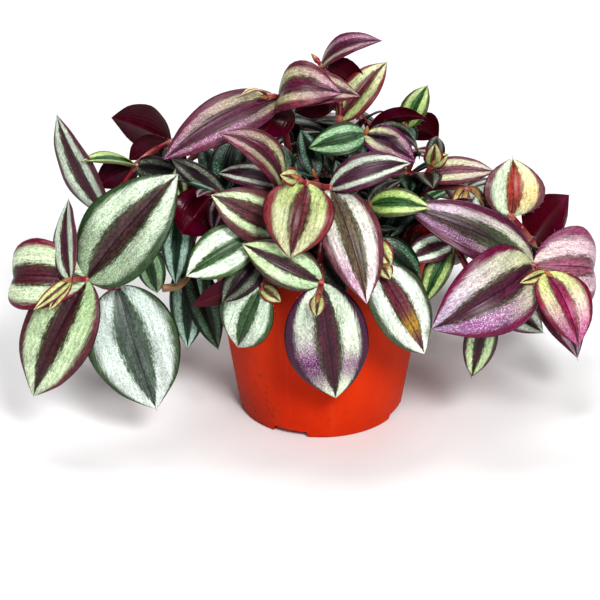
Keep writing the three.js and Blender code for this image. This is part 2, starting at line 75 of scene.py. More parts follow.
def leaf(node, width, bow, reach, tip, look, tint):
    """One leaf: its stem point, size, the place of its bend, its tip, facing and tint."""
    return dict(node=int(node), width=width, bow=bow, reach=reach, tip=tip, look=look, tint=tint)


def numbers(text):
    """The numbers in one field of a table."""
    return tuple(float(word) for word in text.split())


def read_shoots(table):
    """Each shoot of a table as a list: the points of its stem, then its leaves."""
    shoots = {}
    for line in table.strip().splitlines():
        name, colon, points = line.partition(":")
        if colon:
            shoot = shoots[name] = [[numbers(point) for point in points.split(",")]]
        else:
            sizes, tip, tint, *look = line.split(", ")
            look = numbers(look[0]) if look else VIEW
            shoot.append(leaf(*numbers(sizes), numbers(tip), look, tint))
    return shoots


def read_tints(table):
    """Each tint of a table as its fields of numbers."""
    rows = (line.split(": ") for line in table.strip().splitlines())
    return {name: [numbers(field) for field in fields.split(",")] for name, fields in rows}


# Shoots placed one by one. A shoot's line has its name and the points of its stem, from the soil to the
# bud. A leaf's line has its stem point, width, bow and the place of its bend, then its tip, its tint
# and, where it doesn't face the front, its facing.
SHOOTS = read_shoots("""
left_low: -34 -4 81, -45 -7 106, -62 -16 110, -78 -30 94, -90 -38 77, -102 -46 84, -108 -53 87
4 41 5 0.5, -74 -50 22, frost
5 34 5 0.5, -127 -58 33, mint, -0.3 -1 0.5
5 38 4 0.5, -62 -34 128, meadow, -0.3 -1 0.6
5 32 10 0.8, -136 -28 75, rose, -0.4 -0.9 0.7
6 6 2 0.5, -123 -64 78, bud
6 6 2 0.5, -117 -60 76, bud
6 18 2 0.5, -111 -24 112, silver_plum, -1 -1.2 0.2
2 16 2 0.5, -65 -30 74, teal, -0.3 -1 0.3
left_back: -32 10 81, -38 12 108, -52 18 122, -69 20 122, -84 6 116, -98 0 96, -106 -4 88
3 25 2 0.5, -98 42 126, plum, 0 1 0.1
3 18 2 0.5, -89 26 111, plum, 0.2 1 0.8
4 18 2 0.5, -107 -4 122, lime_green, 0 0 1
5 22 3 0.5, -119 12 138, silver_plum, -0.7 -0.9 0.1
top_left: -10 2 81, -13 5 112, -17 3 138, -19 -8 153, -24 -14 156
3 24 5 0.5, -68 -32 134, mauve, 0 -0.6 0.8
3 24 10 0.5, 8 -22 160, mauve_lime, 0 -0.7 0.7
4 6 3 0.5, -35 -22 159, pale, 0 0 1
3 20 4 0.5, -26 -18 139, mauve, 0.4 1 0.5
3 20 6 0.5, 16 -14 156, plum_lime, 0 -0.5 0.8
crown: 4 8 81, 6 10 110, 8 6 138, 7 12 150, 0 18 159, -2 20 161
4 14 6 0.5, 26 8 174, mauve, -0.2 -0.5 0.8
3 16 2 0.5, -12 0 144, plum, 0 1 -0.3
4 20 2 0.5, 20 12 147, plum, 0 1 0.5
2 17 3 0.5, 29 18 161, lime, -0.5 -1 0.4
crown_right: 14 -4 81, 15 -6 108, 18 -10 130, 19 -12 138
3 16 4 0.5, 40 -22 129, violet_lime, 0.1 -0.8 0.8
3 15 8 0.5, 43 -8 125, plum, 0.2 -0.2 1
3 15 2 0.5, -6 -16 133, green, 0 -0.8 0.6
3 10 2 0.5, 12 -18 125, dark
3 13 5 0.5, 46 0 141, plum, 0 1 0.6
right_top: 26 3 81, 29 4 106, 38 3 113, 46 0 114, 49 -3 120
4 9 1 0.5, 50 -5 131, bud
4 7 1 0.5, 56 -5 126, bud
3 14 4 0.5, 77 -6 118, lime_pink, 0 -0.8 0.8
right_peak: 22 18 81, 28 20 112, 38 18 130, 40 22 132
2 13 2 0.5, 48 24 148, lime_green, -0.5 -1 0.3
2 20 3 0.5, 54 27 121, plum, 0 1 0.4
front_high: 8 -20 81, 13 -27 102, 11 -38 118, 3 -45 126, -7 -54 132, -11 -58 136
4 30 4 0.5, -14 -72 106, lime
3 27 6 0.5, 18 -74 86, brown_rose, 0.3 -1 0.5
5 8 1 0.5, -18 -62 139, bud
3 17 5 0.5, 37 -39 135, plum_silver, 0 -0.6 0.8
front_low: 0 -32 81, 0 -42 102, -1 -54 100, -1 -64 91, -2 -70 88
3 36 4 0.5, 6 -56 31, violet_spot
3 19 3 0.5, -34 -60 107, green_plum, -0.2 -1 0.6
4 7 1 0.5, -3 -74 80, bud
front_right_low: 16 -32 81, 19 -39 103, 22 -50 104, 22 -58 96, 25 -61 97
3 28 3 0.5, 44 -60 55, gold_spot, 0.5 -1 0.5
4 7 2 0.5, 28 -65 93, bud
2 9 2 0.5, 29 -56 95, bud
2 15 3 0.5, 42 -51 86, dark, 0 -0.8 0.8
front_left_high: -5 -20 81, -9 -24 104, -15 -32 118, -18 -36 124
3 20 9 0.5, -44 -38 148, mauve_lime, 0.7 -0.6 0.8
3 13 4 0.5, -45 -28 126, plum_silver, 0 -0.6 0.8
front_left: -12 -26 81, -15 -34 103, -18 -44 108, -30 -50 106, -37 -54 101
2 23 4 0.5, -47 -52 126, brown, -0.2 -1 0.6
3 22 3 0.5, -58 -60 92, silver_green, -0.1 -1 0.7
front_left_low: -22 -28 81, -24 -36 100, -26 -48 97, -26 -56 85
3 26 3 0.5, -37 -50 53, silver_green, -0.3 -1 0.5
3 8 1 0.5, -18 -60 80, bud
3 15 3 0.5, -56 -55 75, brown, -0.2 1 0.3
left_rim: -36 -16 81, -45 -19 100, -55 -20 96, -60 -18 80, -59 -17 81
4 18 2 0.5, -61 -22 38, teal, -0.2 -1 0.3
3 16 2 0.5, -47 -27 40, dark, 0.3 -1 0.3
left_mid: -22 -12 81, -31 -20 104, -43 -28 116, -48 -31 118
3 22 6 0.5, -61 -42 104, plum, 0.5 1 0.3
2 12 2 0.5, -64 -20 120, teal, 0 0 1
right_cluster: 32 -10 81, 42 -14 103, 60 -22 106, 78 -32 98, 91 -42 89, 96 -48 88
4 36 10 0.5, 46 -68 71, violet, -0.2 -1 0.2
4 25 7 0.5, 34 -45 118, violet_green, 0 -0.8 0.8
4 36 8 0.7, 120 -28 80, pink, 0.2 -1 0.6
5 25 5 0.5, 109 -68 63, lime_magenta, 0.4 -1 0.5
5 6 1 0.5, 84 -56 87, bud
right_hang: 34 -22 81, 42 -26 101, 56 -34 96, 66 -38 80, 72 -40 66
4 15 2 0.5, 67 -42 34, green_dry
3 20 4 0.5, 97 -46 58, silver_plum
2 12 2 0.5, 44 -46 72, lime_green, -0.3 -1 0.5
2 14 2 0.5, 35 -47 93, silver_plum, -0.1 -0.8 0.8
right_mid: 20 -16 81, 20 -22 102, 20 -34 114, 20 -42 117
3 14 4 0.5, 45 -52 120, lime_green, 0 -0.8 0.8
right_back: 36 4 81, 44 2 104, 64 -6 110, 84 -14 100, 94 -14 88
3 29 3 0.5, 85 -2 123, gold_red, 0.2 -1 0.2
4 23 3 0.5, 113 8 101, plum, 0.3 1 0.1
""")
# Small leaves placed in gaps and over the rim, for the looks alone
# Many of these leaves take the darker tints, as painted shade in the gaps.
GAP_SHOOTS = read_shoots("""
front_left_low:
2 16 2 0.5, -43 -59 79, deep_plum, -0.2 -1 0.4
2 13 2 0.5, -13 -58 85, green_plum, 0.2 -1 0.5
front_low:
2 15 2 0.5, 10 -58 84, deep_plum, 0.1 -1 0.4
left_back:
4 17 2 0.5, -102 5 106, plum, 0 1 0.3
4 13 2 0.5, -64 4 114, deep_plum, 0 -1 0.3
3 13 2 0.5, -66 12 104, deep_plum, 0 -1 0.3
left_low:
3 13 2 0.5, -74 -22 66, green, 0 -1 0.2
left_mid:
2 11 2 0.5, -66 -16 128, deep_plum, 0 -0.8 0.7
right_top:
4 9 2 0.5, 52 12 128, deep_plum, 0 -1 0.3
3 9 2 0.5, 46 -4 108, deep_teal, 0 -1 0.3
right_hang:
2 12 2 0.5, 62 -20 80, deep_plum, 0 -1 0.3
right_back:
2 8 1 0.5, 72 -12 104, dry
2 7 1 0.5, 58 -15 104, dry
""")

# Trailing shoots at the back: name, heading in degrees, root radius, height over the rim,
# reach from the pot's axis and height of the hanging end
TRAILS = [
    ("back_1", 20, 40, 107, 98, 74),
    ("back_2", 42, 38, 109, 96, 80),
    ("back_3", 64, 40, 108, 104, 70),
    ("back_4", 88, 38, 110, 98, 84),
    ("back_5", 110, 41, 107, 104, 72),
    ("back_6", 134, 39, 109, 96, 82),
    ("back_7", 156, 41, 106, 100, 74),
]
RIM_CLEAR = 103
CREST_RADIUS = 60
# Sideways swing, and how far leaves turn from the stem along it and at its end, all in radians
SWING = 0.12
SIDE_TURN = (0.7, 1.2)
END_TURN = (0.1, 0.4)
TRAIL_END = 5
# Leaves of a drawn shoot: stem point, length, slope
TRAIL_LEAVES = [
    (2, 54, -0.5), (3, 60, -0.6), (4, 60, -0.9), (4, 56, -0.35),
    (5, 50, -0.7), (3, 50, -0.1), (2, 44, 0.1), (5, 24, 0.1),
]
# Upright shoots inside: name, root x and y, height of the top
UPRIGHTS = [
    ("top_1", -14, 30, 140),
    ("top_2", 7, 33, 142),
    ("top_3", -22, 18, 136),
    ("top_5", 0, -8, 118),
    ("top_6", 12, 12, 128),
    ("top_8", 32, 15, 116),
    ("low_1", -16, -6, 112),
]
UPRIGHT_LEAVES = [
    (1, 44, -0.1), (2, 44, 0), (2, 42, -0.3), (3, 42, 0.15), (3, 38, -0.1), (3, 24, 0.7),
    (1, 36, -0.3), (2, 34, 0.3),
]
TOP_SWAY = 4
# Turn in radians from one leaf to the next on an upright shoot and among filler leaves
UPRIGHT_TURN = (2.0, 2.8)
FILLER_TURN = (1.9, 2.9)
# Small leaves tried low on every shoot, to fill the inside
FILLER_LEAVES = [(1, 44, -0.1), (2, 42, -0.3)]
# Leaves deeper in the plant that only the picture has
DEEP_LEAVES = [
    (1, 38, 0.2), (3, 38, -0.4), (2, 38, 0.3), (3, 34, 0.1), (1, 34, -0.3), (1, 30, -0.1), (2, 30, 0),
    (4, 34, -0.3), (4, 28, 0.2), (2, 24, 0.5), (1, 26, 0.1), (3, 24, -0.2), (1, 22, 0.4), (2, 22, -0.4),
]
# Farthest that drawn leaves reach from the pot's axis
WHOLE_REACH = 200
DEEP_REACH = 80
DRAWN_TINTS = ("silver", "plum", "green", "fresh")
DRAWN_WIDTH = (0.52, 0.6)
DRAWN_BOW = (0.06, 0.12)
TRIES = 24
TURN_SPREAD = 0.12
RISE_SPREAD = 0.1
SHRINK = 0.97
LOOK_OUT = 0.5

# Drawn leaves stay behind FRONT_LIMIT, under a roof that rises to the back and under a ridge
# that falls to both sides, so the listed leaves stay in view.
FRONT_LIMIT = -44
FRONT_LOW = 88
OVER_POT = -20
ROOF = dict(height=140, rise=0.3)
RIDGE = dict(height=150, up=0.9, back=0.44, fall=0.6)

# Samples that keep the shoots clear of each other, and the cells in mm that they claim
CELL = 2
CELL_OFFSET = 1000
CELL_SPAN = 4096
ROWS = 25
HALF_COLUMNS = 7
ROOT_ROWS = 12
STEM_SAMPLES = 14
POT_SAMPLES = 120
POT_SAMPLE_STEP = 3
ABOVE_SOIL = 88

SEED = 4711
DRAW_STEP = 16807
DRAW_RANGE = 2**31 - 1
seed = SEED


def draw(low, high):
    """The next random number of the part's own sequence."""
    global seed
    seed = (seed * DRAW_STEP) % DRAW_RANGE
    return low + (high - low) * seed / DRAW_RANGE


def wall_outer(z):
    """Outer radius of the pot's tapered wall at a height."""
    return FOOT_RADIUS + WALL_SLOPE * z


def unit(v):
    """Vector or rows of vectors at length one."""
    return v / np.linalg.norm(v, axis=-1, keepdims=True)


def polar(radius, angle, z):
    """The point at a radius and an angle about the pot's axis, and a height."""
    return radius * math.cos(angle), radius * math.sin(angle), z


def circle(count):
    """Angles evenly spaced round a circle."""
    return math.tau * np.arange(count) / count


# Leaf surface


def frame_of(base, data):
    """The curve, side and half width that a leaf's surface is swept from."""
    base = np.array(base, float)
    tip = np.array(data["tip"], float)
    chord = tip - base
    along = unit(chord)
    look = np.array(data["look"], float)
    normal = unit(look - along * look.dot(along))
    crest = base + chord * data["reach"] + normal * 2 * data["bow"]
    return dict(base=base, crest=crest, tip=tip, side=np.cross(along, normal), half=data["width"] / 2)


def outline(t):
    """Share of the half width at each place along the leaf."""
    widest = WIDE_P / (WIDE_P + WIDE_Q)
    return (t / widest) ** WIDE_P * ((1 - t) / (1 - widest)) ** WIDE_Q


def spine(frame, t):
    """Points of the midrib and the upward normal there."""
    t = t[:, None]
    s = 1 - t
    points = frame["base"] * (s * s) + frame["crest"] * (2 * t * s) + frame["tip"] * (t * t)
    along = unit((frame["crest"] - frame["base"]) * s + (frame["tip"] - frame["crest"]) * t)
    return points, np.cross(frame["side"], along)


def blade_points(frame, t, u):
    """Surface points on a grid: rows along the leaf and columns across it."""
    points, normals = spine(frame, t)
    least = BASE_HALF + (TIP_HALF - BASE_HALF) * t
    half = np.maximum(frame["half"] * outline(t), least)[:, None]
    height = half * (FOLD * np.abs(u) - CUP * u * u)
    across = half * u
    return points[:, None] + frame["side"] * across[..., None] + normals[:, None] * height[..., None]


def stem_points_at(stem, per_span):
    """Points of the curve through the stem's points, evenly spaced in each span."""
    p = np.array(stem, float)
    p = np.vstack([2 * p[0] - p[1], p, 2 * p[-1] - p[-2]])
    spans = len(stem) - 1
    place = np.arange(per_span * spans + 1) / per_span
    i = np.minimum(place.astype(int), spans - 1)
    w = (place - i)[:, None]
    a, b = p[i + 1], p[i + 2]
    ta, tb = 0.5 * (b - p[i]), 0.5 * (p[i + 3] - a)
    c2 = -3 * a + 3 * b - 2 * ta - tb
    c3 = 2 * a - 2 * b + ta + tb
    return a + ta * w + c2 * w * w + c3 * w * w * w


# Clearance: every sampled point claims its cell and the cells around it

claims = {}
owners = {}
NEXT_CELLS = (-CELL, 0, CELL)
SHIFTS = np.array([(x, y, z) for x in NEXT_CELLS for y in NEXT_CELLS for z in NEXT_CELLS])
ROW_T = np.arange(1, ROWS + 1) / ROWS
COLUMN_U = np.arange(-HALF_COLUMNS, HALF_COLUMNS + 1) / HALF_COLUMNS


def keys_of(points):
    """One whole number for the cell of each point."""
    cell = np.floor(points / CELL).astype(np.int64) + CELL_OFFSET
    return (cell[:, 0] * CELL_SPAN + cell[:, 1]) * CELL_SPAN + cell[:, 2]


def claim(points, name):
    """Give the cells round the points to a shoot."""
    bit = owners.setdefault(name, 1 << len(owners))
    for key in np.unique(keys_of((points[:, None] + SHIFTS).reshape(-1, 3))).tolist():
        claims[key] = claims.get(key, 0) | bit


def is_free(points, name, near=None):
    """Whether no other shoot holds the points' cells, nor this one past the first `near` points."""
    own = owners.get(name, 0)
    for k, key in enumerate(keys_of(points).tolist()):
        held = claims.get(key, 0)
        if held and not (held == own and (near is None or k < near)):
            return False
    return True


def leaf_samples(stem, data):
    """Points all over a leaf, for the clearance."""
    return blade_points(frame_of(stem[data["node"]], data), ROW_T, COLUMN_U).reshape(-1, 3)


def stem_samples(stem):
    """Points along a stem above the soil, for the clearance."""
    points = stem_points_at(stem, STEM_SAMPLES)
    return points[points[:, 2] > ABOVE_SOIL]


def pot_samples():
    """Points on the pot's wall and on the soil, for the clearance."""
    heights = range(0, POT_HEIGHT + 1, POT_SAMPLE_STEP)
    rings = [(wall_outer(z) if z < BAND_FOOT else BAND_RADIUS, z) for z in heights]
    rings += [(r, SOIL_TOP) for r in range(POT_SAMPLE_STEP, math.ceil(BAND_RADIUS - WALL), POT_SAMPLE_STEP)]
    return np.array([polar(r, a, z) for a in circle(POT_SAMPLES) for r, z in rings])


def is_behind(points):
    """Whether a drawn leaf keeps out of the way of those placed by eye."""
    x, y, z = points.T
    under_roof = z < ROOF["height"] + ROOF["rise"] * np.maximum(0, y)
    under_ridge = RIDGE["up"] * z + RIDGE["back"] * y < RIDGE["height"] - RIDGE["fall"] * np.abs(x)
    over_pot = (y > OVER_POT) | (z > FRONT_LOW)
    return bool(np.all((y > FRONT_LIMIT) & over_pot & under_roof & under_ridge))


def try_leaf(name, stem, row, heading, limit=WHOLE_REACH):
    """The first of a few drawn leaves that keeps clear, in a list, or an empty list."""
    node, size, slope = row
    tint = DRAWN_TINTS[int(draw(0, 3.99))]
    for k in range(TRIES):
        turn = heading + draw(-TURN_SPREAD, TURN_SPREAD) * (1 + k)
        rise = slope + draw(-RISE_SPREAD, RISE_SPREAD) * (1 + k / 2)
        length = size * SHRINK**k
        x, y, z = stem[node]
        tip = (
            x + length * math.cos(turn) * math.cos(rise),
            y + length * math.sin(turn) * math.cos(rise),
            z + length * math.sin(rise),
        )
        width = length * draw(*DRAWN_WIDTH)
        bow = length * draw(*DRAWN_BOW)
        data = leaf(node, width, bow, BEND, tip, polar(LOOK_OUT, turn, 1), tint)
        points = leaf_samples(stem, data)
        inside = np.hypot(points[:, 0], points[:, 1]).max() < limit
        if inside and is_behind(points) and is_free(points, name, ROOT_ROWS * len(COLUMN_U)):
            claim(points, name)
            return [data]
    return []


def fill(name, stem, rows, limit=WHOLE_REACH):
    """The leaves of some filler rows that find room on a shoot."""
    turn = draw(0, math.tau)
    found = []
    for row in rows:
        turn += draw(*FILLER_TURN)
        if row[0] < len(stem):
            found += try_leaf(name, stem, row, turn, limit)
    return found


def trailing_stem(row):
    """Stem points and end heading of a shoot that hangs over the rim."""
    _, degrees, root, crest, reach, low = row
    heading = degrees * math.pi / 180
    swing = draw(-SWING, SWING)
    end = heading + swing * 1.5
    path = [
        (root, heading, FOOT),
        (root + 8, heading, RIM_CLEAR),
        (CREST_RADIUS, heading + swing * 0.5, crest),
        ((CREST_RADIUS + reach) / 2, heading + swing, crest - 5),
        (reach, end, low),
        (reach + 6, end, low + 3),
    ]
    return [polar(*place) for place in path], end


def draw_shoots():
    """Name, stem, leaf rows and leaf headings of every drawn shoot."""
    plans = []
    for row in TRAILS:
        stem, heading = trailing_stem(row)
        side = 1 if draw(0, 1) > 0.5 else -1
        turns = []
        for node, _, _ in TRAIL_LEAVES:
            side = -side
            turns.append(heading + side * draw(*(SIDE_TURN if node < TRAIL_END else END_TURN)))
        plans.append((row[0], stem, TRAIL_LEAVES, turns))
    for name, x, y, top in UPRIGHTS:
        stem = [
            (x, y, FOOT),
            (x * 1.1, y * 1.1, 0.45 * ROOT_FOOT + 0.55 * top),
            (x * 1.2, y * 1.2, top - 12),
            (x * 1.2 + draw(-TOP_SWAY, TOP_SWAY), y * 1.2 + draw(-TOP_SWAY, TOP_SWAY), top),
        ]
        turn = draw(0, math.tau)
        turns = []
        for _ in UPRIGHT_LEAVES:
            turn += draw(*UPRIGHT_TURN)
            turns.append(turn)
        plans.append((name, stem, UPRIGHT_LEAVES, turns))
    return plans


def grow_all():
    """Every shoot as its stem points and leaves, by the same rule as the part's source."""
    shoots = dict(SHOOTS)
    claim(pot_samples(), "pot")
    for name, (stem, *leaves) in SHOOTS.items():
        claim(stem_samples(stem), name)
        for data in leaves:
            claim(leaf_samples(stem, data), name)
    plans = []
    for plan in draw_shoots():
        samples = stem_samples(plan[1])
        if is_free(samples, plan[0]):
            claim(samples, plan[0])
            plans.append(plan)
    for name, stem, rows, turns in plans:
        leaves = [data for row, turn in zip(rows, turns) for data in try_leaf(name, stem, row, turn)]
        if len(leaves) > 1:
            shoots[name] = [stem, *leaves]
    for name, shoot in shoots.items():
        shoots[name] = [*shoot, *fill(name, shoot[0], FILLER_LEAVES)]
    return shoots


def grow_deep(shoots):
    """The leaves that only the looks have, by shoot: some listed, then drawn ones."""
    by_eye = {name: leaves for name, (_, *leaves) in GAP_SHOOTS.items()}
    for name, leaves in by_eye.items():
        for data in leaves:
            claim(leaf_samples(shoots[name][0], data), name)
    drawn = {name: fill(name, shoot[0], DEEP_LEAVES, DEEP_REACH) for name, shoot in shoots.items()}
    return {name: by_eye.get(name, []) + leaves for name, leaves in drawn.items()}


# Finer leaves, stems, sheaths and hairs

BURGUNDY = (62, 0, 16)
STEM_PINK = (128, 10, 34)
STEM_GREEN = (84, 36, 40)
BUD_TIP = (146, 104, 62)
SHEATH = (120, 40, 44)
SHEATH_MOUTH = (156, 90, 76)
SHEATH_STREAK = (126, 40, 62)
HAIR_PALE = (236, 226, 214)
LEAF_POINT = (52, 20, 26)
# Colours of a leaf's bands at its base and tip, its midband and its margin, then the widths of
# midband and margin as shares of the half leaf and the glint, and an underside that isn't burgundy.
# The darker teal and plum tints and the tint dark are painted shade, for leaves that lie in shadow deep in
# the plant or behind others.
TINTS = read_tints("""
frost: 186 204 194, 214 224 216, 92 104 96, 70 94 56, 0.34 0.13 1
silver: 176 200 178, 204 218 200, 74 36 48, 92 50 62, 0.31 0.17 0.9
silver_plum: 180 196 174, 192 206 186, 84 40 56, 104 52 70, 0.32 0.22 0.9
silver_green: 190 212 186, 210 224 202, 62 92 56, 70 98 54, 0.27 0.16 0.9
meadow: 138 162 122, 194 208 186, 76 52 54, 62 88 52, 0.33 0.16 0.8
mint: 160 190 132, 200 216 178, 78 38 46, 104 48 58, 0.31 0.17 0.6
rose: 186 202 164, 202 216 182, 84 38 48, 126 30 60, 0.33 0.15 0.6
teal: 122 162 146, 160 192 174, 34 66 50, 36 70 46, 0.32 0.22 0.7
mauve: 156 156 112, 142 84 118, 92 34 62, 104 42 66, 0.36 0.28 0.5
mauve_lime: 172 180 118, 154 102 124, 100 40 64, 120 48 66, 0.34 0.26 0.4
pale: 190 176 128, 206 194 160, 190 140 120, 168 92 84, 0.2 0.15 0.2, 150 70 80
plum: 150 150 136, 150 116 134, 74 26 48, 96 30 56, 0.34 0.27 0.4
plum_lime: 164 174 110, 158 126 120, 88 32 54, 104 36 56, 0.34 0.28 0.4
plum_silver: 146 152 138, 190 198 182, 70 28 52, 84 32 56, 0.4 0.26 0.7
violet_lime: 166 172 122, 144 56 124, 74 18 54, 100 22 76, 0.34 0.24 0.5
deep_teal: 42 78 62, 64 102 82, 12 30 22, 14 34 20, 0.34 0.22 0.5
deep_plum: 72 78 62, 90 96 80, 36 12 26, 42 14 26, 0.36 0.26 0.4
dry: 176 140 84, 198 168 104, 132 84 52, 150 96 60, 0.2 0.2 0.1, 120 78 50
dark: 38 74 50, 58 96 68, 12 32 20, 14 34 18, 0.36 0.22 0.4, 50 4 24
bud: 156 170 100, 196 196 140, 140 90 72, 142 40 50, 0.24 0.22 0.1, 130 30 50
lime: 150 168 92, 190 188 148, 116 50 56, 130 46 52, 0.27 0.22 0.4
lime_green: 140 168 88, 176 196 128, 52 96 44, 84 88 50, 0.32 0.2 0.2
lime_pink: 196 204 152, 196 174 164, 140 84 100, 122 56 72, 0.3 0.24 0.5
lime_magenta: 196 208 112, 200 140 180, 142 34 78, 136 24 62, 0.3 0.17 0.6
brown_rose: 176 180 160, 206 186 190, 98 70 62, 108 56 66, 0.35 0.22 0.7
brown: 170 190 146, 190 204 160, 92 54 58, 102 56 60, 0.4 0.28 0.6
violet_spot: 192 208 184, 206 220 190, 72 28 46, 72 26 58, 0.31 0.19 0.7
green_dry: 170 196 150, 184 204 148, 76 36 50, 84 60 56, 0.32 0.2 0.6
green_plum: 178 206 162, 190 212 154, 80 44 54, 88 72 60, 0.29 0.2 0.6
gold_spot: 202 214 202, 218 228 208, 104 50 62, 78 86 62, 0.34 0.17 1
gold_red: 186 204 170, 200 210 182, 146 74 64, 124 76 84, 0.27 0.2 0.8
violet: 194 200 150, 180 152 184, 88 36 60, 124 22 72, 0.32 0.17 0.55
violet_green: 178 182 150, 180 146 176, 84 56 66, 98 36 66, 0.36 0.29 0.5
pink: 204 176 176, 192 146 166, 160 92 116, 150 80 112, 0.26 0.26 0.9
fresh: 160 186 122, 184 204 146, 88 48 52, 106 66 60, 0.3 0.19 0.5
green: 112 160 112, 150 186 140, 44 84 44, 56 82 48, 0.33 0.2 0.6
""")
# What a leaf drawn as one tint becomes deep in the plant: a darker tint, as painted shade
SHADED_TINTS = {"silver": "deep_teal", "plum": "deep_plum", "green": "dark", "fresh": "deep_teal"}
INSIDE_RADIUS = 52
INSIDE_TOP = 132
# Patches of colour: tint, place across (both bands, the band on one side, or the midband), centre
# along the leaf, length, strength and colour
BOTH, RIGHT, LEFT, MIDBAND = 0, 1, -1, 2
PATCHES = [
    ("violet_spot", RIGHT, 0.62, 0.28, 1.0, (96, 0, 88)),
    ("violet_spot", LEFT, 0.66, 0.14, 0.8, (112, 10, 104)),
    ("violet", LEFT, 0.65, 0.35, 0.9, (122, 20, 112)),
    ("violet_green", LEFT, 0.65, 0.34, 0.9, (100, 28, 88)),
    ("lime_magenta", BOTH, 0.95, 0.3, 0.85, (164, 26, 110)),
    ("brown_rose", RIGHT, 0.8, 0.2, 0.6, (156, 84, 140)),
    ("mauve", LEFT, 0.5, 0.35, 0.8, (128, 46, 108)),
    ("gold_red", RIGHT, 0.45, 0.4, 0.7, (216, 166, 60)),
    ("green_dry", BOTH, 1.0, 0.08, 1.0, (104, 62, 40)),
    ("gold_spot", MIDBAND, 0.66, 0.1, 0.8, (176, 140, 40)),
    ("gold_red", MIDBAND, 0.5, 0.4, 0.85, (178, 60, 48)),
    ("green_dry", MIDBAND, 1.0, 0.08, 1.0, (84, 44, 30)),
    ("lime_magenta", MIDBAND, 0.5, 0.4, 0.5, (150, 40, 90)),
    ("violet_green", MIDBAND, 0.2, 0.3, 0.6, (74, 100, 62)),
    ("brown_rose", MIDBAND, 0.4, 0.4, 0.4, (74, 84, 60)),
]
# How much darker the midband and margin are than their tints
DEPTH = 0.62

# Path, radii, colour and streak colour of a dry stub on the left and a thin tendril in the crown
DRY_BITS = [
    (
        ((-59, -17, 80), (-60, -21, 74), (-64, -25, 71), (-71, -28, 71)),
        (1.2, 1.5, 1.7, 1.9), (176, 142, 104), (96, 52, 44),
    ),
    (
        ((19, -11, 135), (21, -7, 138), (20, -5, 141), (17, -5, 144), (15, -5, 142)),
        (0.6, 0.5, 0.3), (104, 16, 34), (70, 10, 24),
    ),
]

# Leaf mesh: columns from the midrib to the margin, rows, and the length in mm of a full leaf
LEAF_U = (0.03, 0.09, 0.19, 0.31, 0.43, 0.55, 0.67, 0.78, 0.88, 0.95, 1)
COLUMNS = np.array([-u for u in reversed(LEAF_U)] + [0] + list(LEAF_U))
ROW_LENGTH = 1.9
ROW_LIMITS = (12, 30)
FULL_LENGTH = 45
LEAF_THICK = 0.7
FINE_TIP_HALF = 0.12
# Waves of the blade, how far a leaf leans to one side, and the midrib's depth and half width in mm
WAVE = 0.018
LEAN = 0.06
RIB_DEPTH = 0.55
RIB_HALF = 0.8
STEM_STEPS = 8
TUBE_SIDES = 12
# Radii at a stem's root, then distance and share of radius at the points of its bud
ROOT_RADII = (1.7, 1.75, 1.75)
BUD_STEPS = np.array([[1.6], [3.2], [4.6]])
BUD_TAPER = np.array([0.9, 0.6, 0.12])
# A sheath's steps of the stem's curve below and above the leaf, and the hairs at its mouth
SHEATH_BELOW = 5
SHEATH_ABOVE = 1
SHEATH_HAIRS = 9

TOP, UNDER, STEM, HAIR = range(4)
FIELDS = ("spot", "zone", "edge", "band", "mid", "rim", "under")


def linear(color):
    """Linear light of a colour given as 0 to 255 in sRGB."""
    c = np.array(color, float) / 255
    return np.where(c <= 0.04045, c / 12.92, ((c + 0.055) / 1.055) ** 2.4)


def blend(a, b, share):
    """Values between a and b."""
    return a * (1 - share) + b * share


def declare(piece, node=None):
    """Say that the root body carries a piece, and hide the part of the node that it stands for."""
    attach(piece, "root")
    if node:
        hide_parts(node)


class Shell:
    """Collects surfaces for one object, with the values its materials read at each point."""

    def __init__(self):
        self.points = []
        self.faces = []
        self.slots = []
        self.fields = {name: [] for name in FIELDS}
        self.count = 0

    def add(self, points, faces, slot=0, **fields):
        """Add points in mm and faces by point number, all in one material slot or one slot a face."""
        points = np.asarray(points, float).reshape(-1, 3)
        self.points.append(points)
        self.faces += [tuple(int(i) + self.count for i in face) for face in faces]
        self.slots += slot if isinstance(slot, list) else [slot] * len(faces)
        for name in FIELDS:
            value = np.asarray(fields.get(name, (0, 0, 0)), float)
            self.fields[name].append(np.broadcast_to(value, (len(points), 3)))
        self.count += len(points)

    def build(self, name, materials):
        """One smooth-shaded object from all that was added."""
        mesh = bpy.data.meshes.new(name)
        mesh.from_pydata((np.vstack(self.points) * MM).tolist(), [], self.faces)
        for field in FIELDS:
            layer = mesh.attributes.new(field, "FLOAT_VECTOR", "POINT")
            layer.data.foreach_set("vector", np.vstack(self.fields[field]).ravel().astype(np.float32))
        for material in materials:
            mesh.materials.append(material)
        mesh.polygons.foreach_set("material_index", self.slots)
        mesh.shade_smooth()
        mesh.validate()
        mesh.update()
        return link(bpy.data.objects.new(name, mesh))


def link(made):
    """Put a new object in the scene."""
    bpy.context.scene.collection.objects.link(made)
    return made


def paint(tint, t, u):
    """Band, midband, margin and underside colours on the grid, in linear light."""
    base, tip, mid, rim, _, *under = TINTS[tint]
    band = blend(linear(base), linear(tip), np.clip(t * 1.15 - 0.05, 0, 1)[..., None])
    middle = np.broadcast_to(linear(mid), band.shape).copy()
    for name, place, centre, length, strength, color in PATCHES:
        if name == tint:
            hump = strength * np.exp(-(((t - centre) / length) ** 2))
            if place in (LEFT, RIGHT):
                hump = hump * np.clip(0.5 + 6 * place * u, 0, 1)
            layer = middle if place == MIDBAND else band
            layer[:] = blend(layer, linear(color), hump[..., None])
    below = linear(under[0] if under else BURGUNDY)
    shape = band.shape
    margin = np.broadcast_to(linear(rim) * DEPTH, shape)
    return dict(band=band, mid=middle * DEPTH, rim=margin, under=np.broadcast_to(below, shape))


def grid_faces(rows, columns, at):
    """Quads of a grid whose point numbers come from at(row, column)."""
    return [
        (at(i, j), at(i, j + 1), at(i + 1, j + 1), at(i + 1, j))
        for i in range(rows - 1)
        for j in range(columns - 1)
    ]


